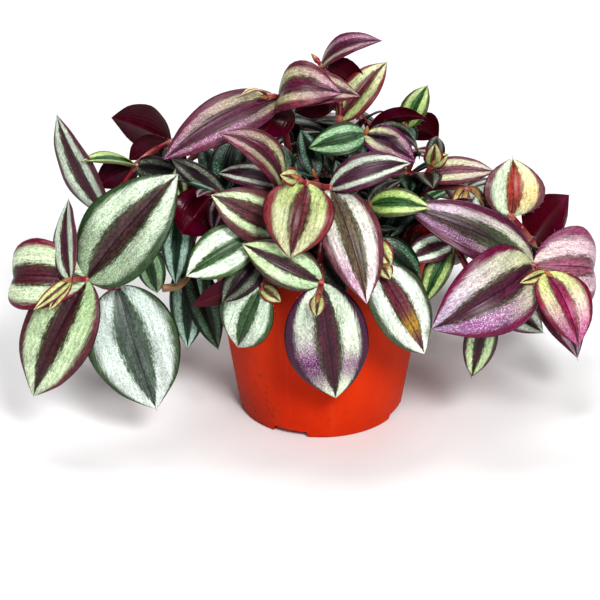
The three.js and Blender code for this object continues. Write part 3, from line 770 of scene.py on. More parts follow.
def leaf_surface(frame, data, length, rng):
    """Places along a leaf, places across it in mm, and the points of its top and underside."""
    rows = int(np.clip(length / ROW_LENGTH, *ROW_LIMITS))
    step = np.linspace(0, 1, rows)
    # Rows lie closer at both ends, and the tip narrows to a fine point
    t = 0.35 * step + 0.65 * (0.5 - 0.5 * np.cos(math.pi * step))
    u = COLUMNS
    points, normals = spine(frame, t)
    narrow = 1 - 0.25 * np.clip((t - 0.78) / 0.22, 0, 1) ** 1.5
    least = BASE_HALF + (FINE_TIP_HALF - BASE_HALF) * t
    half = np.maximum(frame["half"] * outline(t) * narrow, least)[:, None]
    # The fold is softened over the midrib, and the margins turn down a little
    soft = np.sqrt(u * u + 0.0016) - 0.04
    height = half * (FOLD * soft - CUP * u * u - 0.05 * u**6)
    full = min(1, length / FULL_LENGTH)
    for side in (-1, 1):
        phase, waves = rng.uniform(0, 1), rng.uniform(1.6, 2.6)
        swell = np.sin(math.tau * (waves * t + phase))[:, None] * np.sin(math.pi * t)[:, None]
        on_side = np.where(u * side > 0, 1, 0)
        height = height + on_side * WAVE * data["width"] * full * swell * np.abs(u) ** 2.5
    across = half * u * (1 + LEAN * rng.uniform(-1, 1) * u)
    surface = points[:, None] + frame["side"] * across[..., None]
    thick = LEAF_THICK * (1 - 0.45 * t[:, None]) * np.sqrt(np.clip(1 - u**4, 0, 1))
    rib = RIB_DEPTH * np.exp(-((across / RIB_HALF) ** 2)) * (1 - t[:, None]) * full
    top = surface + normals[:, None] * (height + thick / 2)[..., None]
    low = surface + normals[:, None] * (height - thick / 2 - rib)[..., None]
    return t, across, top, low


def leaf_faces(rows, columns):
    """Faces of a leaf's top, then of its underside with the closing strips at base and tip."""

    def on_top(i, j):
        return i * columns + j

    def below(i, j):
        if j in (0, columns - 1):
            return on_top(i, j)
        return rows * columns + i * (columns - 2) + j - 1

    under = [face[::-1] for face in grid_faces(rows, columns, below)]
    for i, turn in ((0, 1), (rows - 1, -1)):
        for j in range(columns - 1):
            ring = [on_top(i, j), below(i, j), below(i, j + 1), on_top(i, j + 1)][::turn]
            under.append(tuple(dict.fromkeys(ring)))
    return grid_faces(rows, columns, on_top), under


def add_leaf(shell, stem, data, rng):
    """A leaf with domed halves, sunken midrib, thin margins, a fine point and hairs."""
    frame = frame_of(stem[data["node"]], data)
    length = float(np.linalg.norm(frame["tip"] - frame["base"]))
    t, across, top, low = leaf_surface(frame, data, length, rng)
    upper, under = leaf_faces(*across.shape)
    grid_t = np.broadcast_to(t[:, None], across.shape)
    grid_u = np.broadcast_to(COLUMNS, across.shape)
    tint = finer_tint(stem, data)
    mid_share, rim_share, glint = TINTS[tint][4]
    shade = rng.uniform(0.9, 1.1)
    fields = {name: color * shade for name, color in paint(tint, grid_t, grid_u).items()}
    taper = grid_t**0.35 * (1 - grid_t) ** 0.45 / 0.578
    ones = np.ones_like(grid_t)
    fields["spot"] = np.stack([across, grid_t * length, ones * rng.uniform(0, 90)], -1)
    fields["zone"] = np.stack([grid_u, grid_t, ones], -1)
    rim_edge = 1 - rim_share * (0.75 + 0.5 * taper / 2)
    fields["edge"] = np.stack([mid_share * taper, rim_edge, ones * glint], -1)

    def both_sides(top_values, low_values):
        return np.concatenate([top_values.reshape(-1, 3), low_values[:, 1:-1].reshape(-1, 3)])

    slots = [TOP] * len(upper) + [UNDER] * len(under)
    doubled = {name: both_sides(values, values) for name, values in fields.items()}
    shell.add(both_sides(top, low), upper + under, slots, **doubled)
    add_leaf_hairs(shell, frame["tip"], top, rng)


def tube_frames(path):
    """Tangents and two side directions along a path, carried on without twist."""
    tangent = unit(np.gradient(path, axis=0))
    side = np.cross(tangent[0], (0.3, 0.9, 0.2))
    sides = []
    for direction in tangent:
        side = unit(side - direction * side.dot(direction))
        sides.append(side)
    return tangent, np.array(sides), np.cross(tangent, sides)


def add_tube(shell, path, radii, slot, sides=TUBE_SIDES, **fields):
    """A closed tube along a path, with a radius and field values at each of its points."""
    _, first, second = tube_frames(path)
    angles = circle(sides)
    ring = first[:, None] * np.cos(angles)[:, None] + second[:, None] * np.sin(angles)[:, None]
    points = path[:, None] + ring * np.asarray(radii)[:, None, None]
    rows = len(path)

    def at(i, k):
        return i * sides + k % sides

    faces = grid_faces(rows, sides + 1, at)
    faces += [range(sides)[::-1], range((rows - 1) * sides, rows * sides)]
    spread = {
        name: np.repeat(np.broadcast_to(value, (rows, 3)), sides, axis=0)
        for name, value in fields.items()
    }
    length = np.concatenate([[0], np.cumsum(np.linalg.norm(np.diff(path, axis=0), axis=1))])
    around = np.tile(angles * np.max(radii), rows)
    spread["spot"] = np.stack([around, np.repeat(length, sides), np.full(rows * sides, path[0, 0])], -1)
    shell.add(points, faces, slot, **spread)


def add_hair(shell, root, direction, length, thick, color, rng, bend=0.3):
    """A tapering three-sided hair."""
    curl = rng.normal(size=3) * bend
    steps = np.linspace(0, 1, 4)[:, None]
    path = root + unit(direction) * steps * length + curl * (steps**2) * length * 0.5
    radii = thick * (1 - 0.85 * steps[:, 0])
    add_tube(shell, path, radii, HAIR, sides=3, band=linear(color))


def add_stem(shell, stem):
    """A fleshy jointed stem from below the soil to a rolled bud: its curve and its radii."""
    curve = stem_points_at(stem, STEM_STEPS)
    root = np.array([[*stem[0][:2], z] for z in (ROOT_FOOT, ROOT_FOOT + 5, FOOT - 2.5)])
    place = np.arange(len(curve)) / STEM_STEPS
    to_node = np.abs(place - np.round(place)) * STEM_STEPS
    swell = 0.28 * np.exp(-((to_node / 0.9) ** 2)) * (place > 0.5)
    share = place / place[-1]
    taper = 1 - 0.28 * share**2
    radii = STEM_RADIUS * taper * (0.72 + swell)
    tips = curve[-1] + unit(curve[-1] - curve[-3]) * BUD_STEPS
    path = np.vstack([root, curve, tips])
    radii = np.concatenate([ROOT_RADII, radii, radii[-1] * BUD_TAPER])
    mix = np.concatenate([np.zeros(3), share**0.7, np.ones(3)])[:, None]
    color = blend(linear(STEM_GREEN), linear(STEM_PINK), mix)
    color[-3:] = linear(BUD_TIP)
    add_tube(shell, path, radii, STEM, band=color, rim=linear(STEM_PINK))
    return curve, STEM_RADIUS * taper * 0.8


def add_sheath(shell, curve, radii, node, rng):
    """The sheath that clasps the stem below a leaf, with a fringe of hairs at its mouth."""
    middle = node * STEM_STEPS
    start = max(0, middle - SHEATH_BELOW)
    end = min(len(curve) - 1, middle + SHEATH_ABOVE)
    path = curve[start:end + 1]
    if len(path) < 3:
        return
    run = np.linspace(0, 1, len(path))
    swell = radii[start:end + 1] * (1.02 + 0.34 * run**1.5)
    swell[-1] *= 0.78
    color = blend(linear(SHEATH), linear(SHEATH_MOUTH), run[:, None])
    add_tube(shell, path, swell, STEM, band=color, rim=linear(SHEATH_STREAK))
    tangent, first, second = tube_frames(path)
    for angle in rng.uniform(0, math.tau, SHEATH_HAIRS):
        out = first[-2] * math.cos(angle) + second[-2] * math.sin(angle)
        root = path[-2] + out * swell[-2] * 0.96
        add_hair(shell, root, tangent[-2] + out * 0.5, rng.uniform(1.2, 2.4), 0.05, HAIR_PALE, rng)


def add_leaf_hairs(shell, tip, top, rng):
    """The fine point of a leaf, and pale hairs along the edges near its base."""
    centre = len(LEAF_U)
    ahead = tip - top[-4, centre]
    root = tip - unit(ahead) * 0.4
    add_hair(shell, root, ahead, rng.uniform(1.0, 2.2), 0.14, LEAF_POINT, rng, bend=0.5)
    for side in (0, -1):
        for row in range(1, 5):
            root = top[row, side]
            add_hair(shell, root, root - top[row, centre], rng.uniform(0.8, 1.5), 0.04, HAIR_PALE, rng)


def finer_tint(stem, data):
    """The tint of a drawn leaf: dark where it is deep in the plant, as painted shade."""
    x, y, z = (np.array(stem[data["node"]]) + data["tip"]) / 2
    deep = math.hypot(x, y) < INSIDE_RADIUS and z < INSIDE_TOP
    return SHADED_TINTS.get(data["tint"], data["tint"]) if deep else data["tint"]


def add_shoot(name, stem, leaves, materials, rng):
    """The finer piece of one leafy stem."""
    shell = Shell()
    curve, radii = add_stem(shell, stem)
    for node in sorted({data["node"] for data in leaves}):
        add_sheath(shell, curve, radii, node, rng)
    for data in leaves:
        add_leaf(shell, stem, data, rng)
    declare(shell.build(f"{name}_shoot", materials), name)


def add_inner(name, stem, leaves, materials, rng):
    """Leaves deep in the plant, which the part leaves out."""
    shell = Shell()
    for data in leaves:
        add_leaf(shell, stem, data, rng)
    declare(shell.build(f"{name}_inner", materials))


def add_bits(materials):
    """The dry stub and the tendril."""
    shell = Shell()
    for path, radii, color, streak in DRY_BITS:
        curve = stem_points_at(path, 4)
        thick = np.interp(np.linspace(0, 1, len(curve)), np.linspace(0, 1, len(radii)), radii)
        add_tube(shell, curve, thick, STEM, band=linear(color), rim=linear(streak))
    declare(shell.build("dry_bits", materials))


# Materials

# Most noise values lie between these
NOISE_LOW = 0.3
NOISE_HIGH = 0.7
VEINS = 44.0
# Colours in linear light
GLINT = (0.9, 0.95, 0.9)
PIT = (0.1, 0.2, 0.08)
MIDBAND_GREEN = (0.03, 0.075, 0.02)
MIDRIB = (0.012, 0.004, 0.006)
UNDER_VIOLET = (0.095, 0.001, 0.036)
UNDER_RED = (0.11, 0.012, 0.022)
POT_RED = (0.5, 0.023, 0.0008)
POT_ORANGE = (0.57, 0.036, 0.002)
POT_GRAIN = (0.68, 0.075, 0.012)
WATER_MARK = (0.66, 0.13, 0.055)
LOW_LEFT_DARK = (0.3, 0.02, 0.006)
DIRT = (0.05, 0.02, 0.012)
DAMP_SOIL = (0.012, 0.008, 0.006)
FLOOR_LOW = (0.84, 0.84, 0.84)
FLOOR_HIGH = (0.86, 0.86, 0.86)
# The floor glows from GLOW_FROM metres off the plant, fully at GLOW_FULL
GLOW_FROM = 0.25
GLOW_FULL = 1.4
GLOW = 0.8


class Graph:
    """A node material, with short calls for the nodes that these looks use."""

    def __init__(self, name, **values):
        self.material = bpy.data.materials.new(name)
        self.material.use_nodes = True
        self.tree = self.material.node_tree
        self.shader = self.tree.nodes["Principled BSDF"]
        for socket, value in values.items():
            self.shader.inputs[socket.replace("_", " ")].default_value = value

    def put(self, socket, value):
        """Join an output to a socket, or set the socket's value; a colour gets its alpha."""
        if isinstance(value, bpy.types.NodeSocket):
            self.tree.links.new(value, socket)
        elif value is not None:
            socket.default_value = (*value, 1) if socket.type == "RGBA" else value

    def node(self, kind, *inputs, **named):
        """A node with its first inputs joined or set, then others and its settings by name."""
        node = self.tree.nodes.new("ShaderNode" + kind)
        for name, value in named.items():
            if name in node.inputs:
                self.put(node.inputs[name], value)
            else:
                setattr(node, name, value)
        for socket, value in zip(node.inputs, inputs):
            self.put(socket, value)
        return node

    def math(self, operation, a, b=None):
        """Result of a math node."""
        return self.node("Math", a, b, operation=operation).outputs[0]

    plus = partialmethod(math, "ADD")
    minus = partialmethod(math, "SUBTRACT")
    times = partialmethod(math, "MULTIPLY")

    def mix(self, factor, a, b, how="MIX"):
        """Colour between a and b."""
        node = self.node("Mix", data_type="RGBA", blend_type=how)
        for index, value in ((0, factor), (6, a), (7, b)):
            self.put(node.inputs[index], value)
        return node.outputs[2]

    def smooth(self, value, low, high, start=0, end=1):
        """Smooth step of a value between two bounds."""
        bounds = low, high, start, end
        return self.node("MapRange", value, *bounds, interpolation_type="SMOOTHSTEP").outputs[0]

    def spread(self, noise, start, end):
        """A noise value spread smoothly from start to end."""
        return self.smooth(noise, NOISE_LOW, NOISE_HIGH, start, end)

    def vary(self, color, noise, dark, light):
        """A colour darkened and lightened by noise."""
        return self.mix(1.0, color, self.spread(noise, dark, light), "MULTIPLY")

    def field(self, name):
        """A vector or colour stored on the mesh."""
        return self.node("Attribute", attribute_name=name).outputs["Vector"]

    def parts(self, vector):
        """The three numbers of a vector."""
        return self.node("SeparateXYZ", vector).outputs

    def noise(self, vector, scale, detail=2, rough=0.5, stretch=None):
        """Noise value, about 0.5 on average, in a space stretched by three factors."""
        if stretch:
            vector = self.node("VectorMath", vector, stretch, operation="MULTIPLY").outputs[0]
        node = self.node("TexNoise", vector, Scale=scale, Detail=detail, Roughness=rough)
        return node.outputs[0]

    def grain(self, vector, along, scale, detail=2, rough=0.5):
        """Noise that is drawn out along a leaf or stem."""
        return self.noise(vector, scale, detail, rough, (1.0, along, 1.0))

    def place(self):
        """Position on the object, in metres."""
        return self.node("TexCoord").outputs["Object"]

    def finish(self, color, rough, height, strength, distance):
        """Join colour, roughness and bump to the shader."""
        bump = self.node("Bump", Strength=strength, Distance=distance, Height=height).outputs[0]
        for name, value in (("Base Color", color), ("Roughness", rough), ("Normal", bump)):
            self.put(self.shader.inputs[name], value)
        return self.material


def leaf_top():
    """Silver bands with painted glints on their cells and painted shade towards their edges, between a dark
    midband and dark margins.
    """
    g = Graph("leaf_top", Specular_IOR_Level=0.26, Coat_Weight=0.04, Coat_Roughness=0.25)
    spot, band, mid, rim = (g.field(name) for name in ("spot", "band", "mid", "rim"))
    u = g.parts(g.field("zone"))[0]
    mid_edge, rim_edge, glint = g.parts(g.field("edge"))
    streaks = g.grain(spot, 0.14, 1.5, 3, 0.6)
    lines = g.grain(spot, 0.05, 0.9, 2, 0.6)
    cells = g.grain(spot, 0.5, 1.25, 3, 0.85)
    fine = g.grain(spot, 0.7, 2.6, 1)
    patches = g.grain(spot, 0.5, 0.16)
    ragged = g.times(g.minus(streaks, 0.5), 0.24)
    speckled = g.times(g.minus(cells, 0.5), 0.16)
    shifted = g.plus(g.math("ABSOLUTE", u), g.plus(ragged, speckled))
    in_mid = g.smooth(g.minus(mid_edge, shifted), -0.07, 0.05)
    core = g.smooth(g.minus(mid_edge, shifted), 0.02, 0.16)
    in_rim = g.smooth(g.minus(shifted, rim_edge), -0.11, 0.04)
    # Painted shade: the band darkens towards the midband and towards the margin, as a domed half would be
    # shaded.
    inside = g.smooth(g.minus(shifted, mid_edge), 0.0, 0.16, 0.78, 1.0)
    rim_shade = g.smooth(g.minus(rim_edge, shifted), 0.0, 0.2, 0.72, 1.0)
    veins = g.math("SINE", g.times(u, VEINS))
    line = g.smooth(g.math("ABSOLUTE", g.parts(spot)[0]), 0.4, 0.1)

    lit_band = g.vary(g.vary(band, cells, 0.58, 1.36), lines, 0.8, 1.14)
    lit_band = g.mix(1.0, lit_band, g.times(inside, rim_shade), "MULTIPLY")
    # Painted glints: white flecks mixed into the band colour.
    painted_glints = g.times(g.smooth(fine, 0.52, 0.72), g.times(glint, 0.75))
    lit_band = g.mix(painted_glints, lit_band, GLINT)
    pits = g.times(g.smooth(cells, 0.42, 0.28), 0.35)
    lit_band = g.mix(pits, lit_band, g.mix(0.5, mid, PIT))
    dark_mid = g.mix(g.smooth(core, 0, 1, 0.4, 0.0), mid, MIDBAND_GREEN)
    dark_mid = g.vary(g.vary(dark_mid, cells, 0.5, 1.9), lines, 0.7, 1.3)
    dark_mid = g.mix(g.times(line, 0.8), dark_mid, MIDRIB)
    dark_rim = g.vary(rim, cells, 0.55, 1.6)
    color = g.mix(in_rim, g.mix(in_mid, lit_band, dark_mid), dark_rim)
    height = g.plus(g.times(cells, 0.5), g.times(veins, 0.2))
    return g.finish(g.vary(color, patches, 0.8, 1.14), g.spread(cells, 0.28, 0.46), height, 0.6, 0.0004)


def leaf_under():
    """Glossy burgundy underside with fine parallel veins."""
    g = Graph("leaf_under", Specular_IOR_Level=0.12, Coat_Weight=0.05, Coat_Roughness=0.12)
    spot = g.field("spot")
    cells = g.grain(spot, 0.4, 3.0, 2, 0.6)
    cloud = g.noise(spot, 0.12)
    veins = g.math("SINE", g.times(g.parts(g.field("zone"))[0], VEINS))
    color = g.vary(g.field("under"), cells, 0.72, 1.3)
    color = g.mix(g.smooth(cloud, 0.45, 0.75, 0.0, 0.6), color, UNDER_VIOLET)
    line = g.math("ABSOLUTE", g.parts(spot)[0])
    color = g.mix(g.smooth(line, 0.9, 0.3, 0.0, 0.35), color, UNDER_RED)
    return g.finish(color, 0.26, g.plus(g.times(cells, 0.4), g.times(veins, 0.2)), 0.4, 0.0003)


def stem_skin():
    """Fleshy pink stem with fine darker streaks."""
    g = Graph("stem_skin", Specular_IOR_Level=0.5, Coat_Weight=0.15, Coat_Roughness=0.3)
    spot = g.field("spot")
    streaks = g.grain(spot, 0.12, 1.6, 3, 0.6)
    color = g.mix(g.smooth(streaks, 0.45, 0.68, 0.0, 0.7), g.field("band"), g.field("rim"))
    return g.finish(g.vary(color, g.noise(spot, 0.2), 0.8, 1.2), 0.36, streaks, 0.35, 0.0003)


def hair_skin():
    """Pale hairs and dark leaf points."""
    g = Graph("hair_skin")
    shade = g.spread(g.noise(g.field("spot"), 2.0), 0.85, 1.1)
    return g.finish(g.mix(1.0, g.field("band"), shade, "MULTIPLY"), 0.5, shade, 0.1, 0.0001)


def pot_plastic():
    """Orange-red plastic with a faint grain, water marks and specks of soil near the foot."""
    g = Graph("pot_plastic", Specular_IOR_Level=0.1)
    place = g.place()
    x, _, z = g.parts(place)
    grain = g.noise(place, 900, 3, 0.6)
    cloud = g.noise(place, 26, 3, 0.55, (1.0, 1.0, 0.5))
    runs = g.noise(place, 190, stretch=(1.0, 1.0, 0.06))
    color = g.mix(g.smooth(cloud, 0.3, 0.72), POT_RED, POT_ORANGE)
    color = g.mix(g.smooth(grain, 0.55, 0.75, 0.0, 0.3), color, POT_GRAIN)
    color = g.mix(g.smooth(runs, 0.6, 0.8, 0.0, 0.16), color, WATER_MARK)
    # Darker, browner cloudy patches low on the left side of the pot.
    left = g.smooth(x, -0.014, -0.032)
    low_left_dark = g.times(left, g.smooth(z, 0.026, 0.002))
    color = g.mix(g.times(low_left_dark, g.smooth(cloud, 0.3, 0.6, 0.3, 0.8)), color, LOW_LEFT_DARK)
    low = g.times(g.smooth(z, 0.05, 0.008), g.plus(g.times(left, 0.85), 0.15))
    specks = g.smooth(g.noise(place, 420, 2, 0.7), 0.6, 0.64)
    dirt = g.times(specks, g.times(low, g.smooth(cloud, 0.36, 0.5)))
    color = g.mix(g.times(dirt, 0.9), color, DIRT)
    return g.finish(color, g.spread(grain, 0.44, 0.6), g.plus(grain, g.times(dirt, 2.0)), 0.22, 0.0003)


def soil_grain():
    """Dark peat with paler fibres and crumbs."""
    g = Graph("soil_grain", Specular_IOR_Level=0.2)
    place = g.place()
    crumbs = g.noise(place, 900, 4, 0.7)
    lumps = g.noise(place, 160, 3, 0.6)
    color = g.vary(g.field("band"), crumbs, 0.5, 1.7)
    color = g.mix(g.smooth(lumps, 0.5, 0.7, 0.0, 0.4), color, DAMP_SOIL)
    return g.finish(color, 0.94, g.plus(crumbs, lumps), 0.8, 0.0008)


def floor_paint():
    """Plain pale floor that glows faintly far from the plant, as a lit backdrop does."""
    g = Graph("floor_paint", Specular_IOR_Level=0.1)
    place = g.place()
    away = g.node("VectorMath", place, operation="LENGTH").outputs["Value"]
    g.put(g.shader.inputs["Emission Color"], (1, 1, 1))
    g.put(g.shader.inputs["Emission Strength"], g.smooth(away, GLOW_FROM, GLOW_FULL, 0, GLOW))
    cloud = g.noise(place, 2.0)
    return g.finish(g.mix(cloud, FLOOR_LOW, FLOOR_HIGH), 0.8, cloud, 0.0, 0.0001)


# Pot and soil

TURN_SIDES = 144
ARC_STEPS = 4
# Radius of the rounding at corners of the pot's profile, by corner
BENDS = {1: 0.5, 2: 0.8, 3: 0.6, 4: 0.4, 5: 1.2, 8: 0.5, 9: 0.6, 10: 0.7, 11: 0.7, 12: 0.6, 13: 0.6, 15: 2.5}
DRAIN_CUT = (1.6, 3.0, 5.0, 7.2)
DRAIN_SIDES = 32
NOTCH_RADII = (FOOT_RADIUS - 7, FOOT_RADIUS + 5)
NOTCH_TAPER = 0.9
CUBE_FACES = [(0, 1, 3, 2), (4, 6, 7, 5), (0, 4, 5, 1), (2, 3, 7, 6), (0, 2, 6, 4), (1, 5, 7, 3)]
SHARP_ANGLE = math.radians(40)
SOIL_RINGS = 44
SOIL_SIDES = 132
SOIL_LEVEL = SOIL_TOP - 1.4
SOIL_SEED = 31
# Waves of the soil's top: count, most turns a mm, height in mm, and the height of its crumbs
SOIL_WAVES = 26
WAVE_TURNS = 0.34
WAVE_HEIGHT = 0.28
CRUMB_HEIGHT = 0.22
PEAT = (58, 40, 30)
CLODS = 520
CLOD_SIZES = (0.6, 1.9)
CLOD_ROWS = 5
CLOD_SIDES = 7
# Colour and share of clods, dark crumbs, bark and pale grains
CLOD_KINDS = [((66, 46, 34), 0.5), ((38, 26, 20), 0.3), ((104, 70, 44), 0.15), ((196, 188, 172), 0.05)]


def closed_faces(rings, sides, flip=False):
    """Faces of stacked rings of points that points 0 and 1 close at the two ends."""

    def at(i, k):
        return 2 + i * sides + k % sides

    last = rings - 1
    faces = [(0, at(0, k + 1), at(0, k)) for k in range(sides)]
    faces += [(1, at(last, k), at(last, k + 1)) for k in range(sides)]
    faces += grid_faces(rings, sides + 1, at)
    return [(face[0], *face[:0:-1]) for face in faces] if flip else faces


def rounded(profile, radii):
    """A profile with the named corners rounded off by short arcs."""
    points = []
    for i, point in enumerate(profile):
        here = np.array(point, float)
        if i not in radii:
            points.append(tuple(here))
            continue
        back = np.array(profile[i - 1], float) - here
        on = np.array(profile[i + 1], float) - here
        start = here + unit(back) * min(radii[i], np.linalg.norm(back) * 0.45)
        end = here + unit(on) * min(radii[i], np.linalg.norm(on) * 0.45)
        for k in range(ARC_STEPS + 1):
            w = k / ARC_STEPS
            points.append(tuple(start * (1 - w) ** 2 + here * 2 * w * (1 - w) + end * w * w))
    return points


def pot_wall():
    """The pot as a closed solid of revolution, before its holes and notches."""
    outer = [
        (0, 0), (BOSS_RADIUS, 0), (CHANNEL_INNER, RAISED_FLOOR), (CHANNEL_OUTER, RAISED_FLOOR),
        (FOOT_RING, 0), (FOOT_RADIUS, 0), (wall_outer(20), 20), (wall_outer(50), 50),
        (wall_outer(BAND_FOOT), BAND_FOOT), (BAND_RADIUS - 0.2, BAND_FOOT + 0.8),
        (BAND_RADIUS, POT_HEIGHT), (BAND_RADIUS - WALL, POT_HEIGHT),
    ]
    inner = [
        (BAND_RADIUS - WALL - 0.4, BAND_FOOT + 1.4), (wall_outer(BAND_FOOT) - WALL, BAND_FOOT - 0.6),
        (wall_outer(40) - WALL, 40), (FOOT_RADIUS - WALL + 0.4, RAISED_FLOOR + WALL),
        (CHANNEL_INNER - 0.8, RAISED_FLOOR + WALL), (BOSS_RADIUS - 0.8, WALL), (0, WALL),
    ]
    first, *rings, last = rounded(outer + inner, BENDS)
    points = [(0, 0, first[1]), (0, 0, last[1])]
    points += [polar(r, a, z) for r, z in rings for a in circle(TURN_SIDES)]
    shell = Shell()
    shell.add(points, closed_faces(len(rings), TURN_SIDES))
    return shell.build("pot_shell", [pot_plastic()])


def pot_cutter():
    """The drain holes and the notches of the foot ring, to be cut from the pot."""
    shell = Shell()
    for k in range(DRAIN_HOLES):
        x, y, _ = polar(DRAIN_CIRCLE, math.tau * (k + 0.5) / DRAIN_HOLES, 0)
        path = np.array([(x, y, z) for z in DRAIN_CUT])
        add_tube(shell, path, np.full(len(path), DRAIN_RADIUS), 0, sides=DRAIN_SIDES)
    for turn in circle(NOTCHES):
        out = np.array(polar(1, NOTCH_TURN + turn, 0))
        aside = np.array([-out[1], out[0], 0]) * NOTCH_WIDTH / 2
        corners = [
            out * r + aside * side * (1 if z < 0 else NOTCH_TAPER) + np.array([0, 0, z])
            for z in (-NOTCH_HEIGHT, NOTCH_HEIGHT)
            for r in NOTCH_RADII
            for side in (-1, 1)
        ]
        shell.add(corners, CUBE_FACES)
    return shell.build("pot_cutter", [])


def pot_piece():
    """The nursery pot: tapered wall, plain top band, raised floor with drain holes, notched foot."""
    pot = pot_wall()
    cutter = pot_cutter()
    cut = pot.modifiers.new("cut", "BOOLEAN")
    cut.operation = "DIFFERENCE"
    cut.solver = "EXACT"
    cut.object = cutter
    bpy.context.view_layer.update()
    result = bpy.data.meshes.new_from_object(pot.evaluated_get(bpy.context.evaluated_depsgraph_get()))
    pot.modifiers.clear()
    pot.data = result
    bpy.data.objects.remove(cutter)
    result.set_sharp_from_angle(angle=SHARP_ANGLE)
    declare(pot, "pot")


def soil_piece():
    """Peat with a crumbly top, clods, bark and a few pale grains."""
    rng = np.random.default_rng(SOIL_SEED)
    side = wall_outer(0) - WALL - GAP
    floor = RAISED_FLOOR + WALL + GAP
    edge = wall_outer(SOIL_TOP) - WALL - GAP - 0.2
    waves = rng.uniform(-1, 1, (SOIL_WAVES, 4)) * np.array([WAVE_TURNS, WAVE_TURNS, math.pi, 1])
    radius = edge * np.linspace(0, 1, SOIL_RINGS + 1)[1:]
    angle = circle(SOIL_SIDES)
    x = radius[:, None] * np.cos(angle)
    y = radius[:, None] * np.sin(angle)
    total = sum(w * np.sin(a * x + b * y + c) for a, b, c, w in waves)
    z = SOIL_LEVEL + WAVE_HEIGHT * total + rng.normal(0, CRUMB_HEIGHT, x.shape)
    z = np.minimum(z, SOIL_TOP)
    low_rings = [
        (side + 0.9, RAISED_FLOOR + 3), (side - 0.6, floor),
        (CHANNEL_INNER - 1, floor), (BOSS_RADIUS - 1, WALL + GAP),
    ]
    low = [polar(r, a, h) for r, h in low_rings for a in angle]
    ends = [(0, 0, SOIL_LEVEL), (0, 0, WALL + GAP)]
    points = np.vstack([ends, np.stack([x, y, z], -1).reshape(-1, 3), low])
    shell = Shell()
    faces = closed_faces(SOIL_RINGS + len(low_rings), SOIL_SIDES, flip=True)
    shell.add(points, faces, band=linear(PEAT))
    colors, shares = zip(*CLOD_KINDS)
    for _ in range(CLODS):
        r = (edge - 2.4) * math.sqrt(rng.uniform(0, 1))
        centre = polar(r, rng.uniform(0, math.tau), SOIL_TOP - 1.2)
        size = rng.uniform(*CLOD_SIZES)
        color = linear(colors[rng.choice(len(colors), p=shares)]) * rng.uniform(0.7, 1.3)
        add_clod(shell, centre, size, color, rng)
    declare(shell.build("soil_fill", [soil_grain()]), "soil")


def add_clod(shell, centre, size, color, rng):
    """A small rough crumb."""
    stretch = rng.uniform(0.6, 1.5, 3)
    turn = rng.uniform(0, math.pi)
    points = [(0, 0, -1), (0, 0, 1)]
    for i in range(1, CLOD_ROWS):
        lean = math.pi * i / CLOD_ROWS - math.pi / 2
        points += [polar(math.cos(lean), a + turn, math.sin(lean)) for a in circle(CLOD_SIDES)]
    points = np.array(points) * rng.uniform(0.72, 1.2, (len(points), 1)) * stretch * size * 0.8
    shell.add(points + np.array(centre), closed_faces(CLOD_ROWS - 1, CLOD_SIDES), band=color)


# Stage, in metres

CAMERA_TARGET = Vector((-0.0098, 0, 0.0516))
CAMERA_DISTANCE = 0.8
CAMERA_RISE = math.radians(26)
CAMERA_LENS = 103.2
SENSOR_WIDTH = 36
CLIP_START = 0.01
FLOOR_REACH = 12.0
FLOOR_TOP = -0.0002
WORLD_STRENGTH = 0.13
LIGHT_TARGET = Vector((0, 0, 0.08))
# Area lights: name, place, power in watts, side of the square
LIGHTS = [
    ("key", (0.24, -0.78, 0.72), 9.8, 0.26),
    ("top", (-0.15, 0.1, 1.0), 5.4, 0.5),
    ("back", (0.25, 0.95, 0.6), 3.0, 0.6),
    ("front", (-0.35, -0.95, 0.35), 1.1, 0.5),
]


def aim(thing, direction):
    """Turn a light or camera to look along a direction."""
    thing.rotation_euler = direction.to_track_quat("-Z", "Y").to_euler()


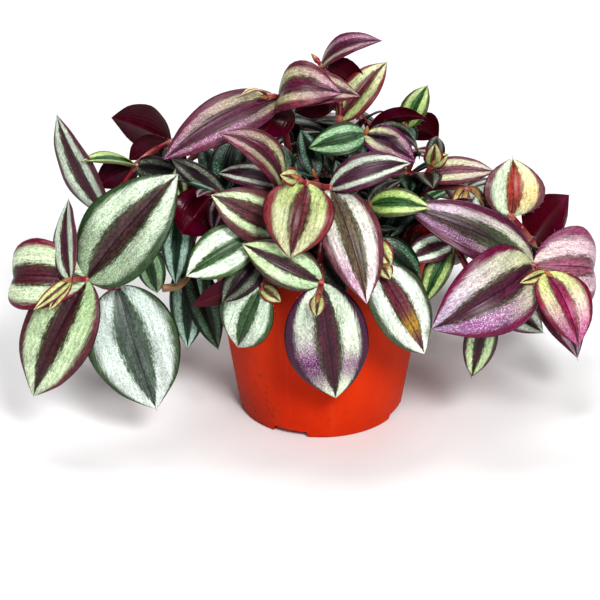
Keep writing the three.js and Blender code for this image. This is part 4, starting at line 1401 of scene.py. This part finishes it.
def add_stage():
    """Pale floor, soft light from above and in front, and the camera of the photograph."""
    mesh = bpy.data.meshes.new("floor")
    sides = ((-1, -1), (1, -1), (1, 1), (-1, 1))
    corners = [(x * FLOOR_REACH, y * FLOOR_REACH, FLOOR_TOP) for x, y in sides]
    mesh.from_pydata(corners, [], [(0, 1, 2, 3)])
    mesh.materials.append(floor_paint())
    link(bpy.data.objects.new("floor", mesh))

    world = bpy.data.worlds.new("studio")
    world.use_nodes = True
    world.node_tree.nodes["Background"].inputs["Color"].default_value = (1, 1, 1, 1)
    world.node_tree.nodes["Background"].inputs["Strength"].default_value = WORLD_STRENGTH
    scene = bpy.context.scene
    scene.world = world

    for name, place, power, size in LIGHTS:
        data = bpy.data.lights.new(name, "AREA")
        data.energy = power
        data.size = size
        light = link(bpy.data.objects.new(name, data))
        light.location = place
        aim(light, LIGHT_TARGET - Vector(place))

    data = bpy.data.cameras.new("camera")
    data.lens = CAMERA_LENS
    data.sensor_width = SENSOR_WIDTH
    data.clip_start = CLIP_START
    camera = link(bpy.data.objects.new("camera", data))
    back = Vector((0, -math.cos(CAMERA_RISE), math.sin(CAMERA_RISE)))
    camera.location = CAMERA_TARGET + back * CAMERA_DISTANCE
    aim(camera, -back)
    bpy.context.scene.camera = camera
    scene.view_settings.view_transform = "Standard"
    scene.view_settings.look = "Medium High Contrast"


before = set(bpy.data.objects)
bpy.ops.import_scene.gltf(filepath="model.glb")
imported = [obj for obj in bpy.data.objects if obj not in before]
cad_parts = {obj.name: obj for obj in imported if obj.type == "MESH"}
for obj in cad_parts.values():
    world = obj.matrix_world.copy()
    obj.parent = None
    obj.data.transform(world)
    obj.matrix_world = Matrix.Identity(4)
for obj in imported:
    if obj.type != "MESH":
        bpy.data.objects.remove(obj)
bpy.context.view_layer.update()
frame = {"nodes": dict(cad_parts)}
add_stage()
shoots = grow_all()
pot_piece()
soil_piece()
skins = [leaf_top(), leaf_under(), stem_skin(), hair_skin()]
for number, (name, (stem, *leaves)) in enumerate(shoots.items()):
    add_shoot(name, stem, leaves, skins, np.random.default_rng(SEED + number))
for number, (name, leaves) in enumerate(grow_deep(shoots).items()):
    if leaves:
        add_inner(name, shoots[name][0], leaves, skins, np.random.default_rng(2 * SEED + number))
add_bits(skins)
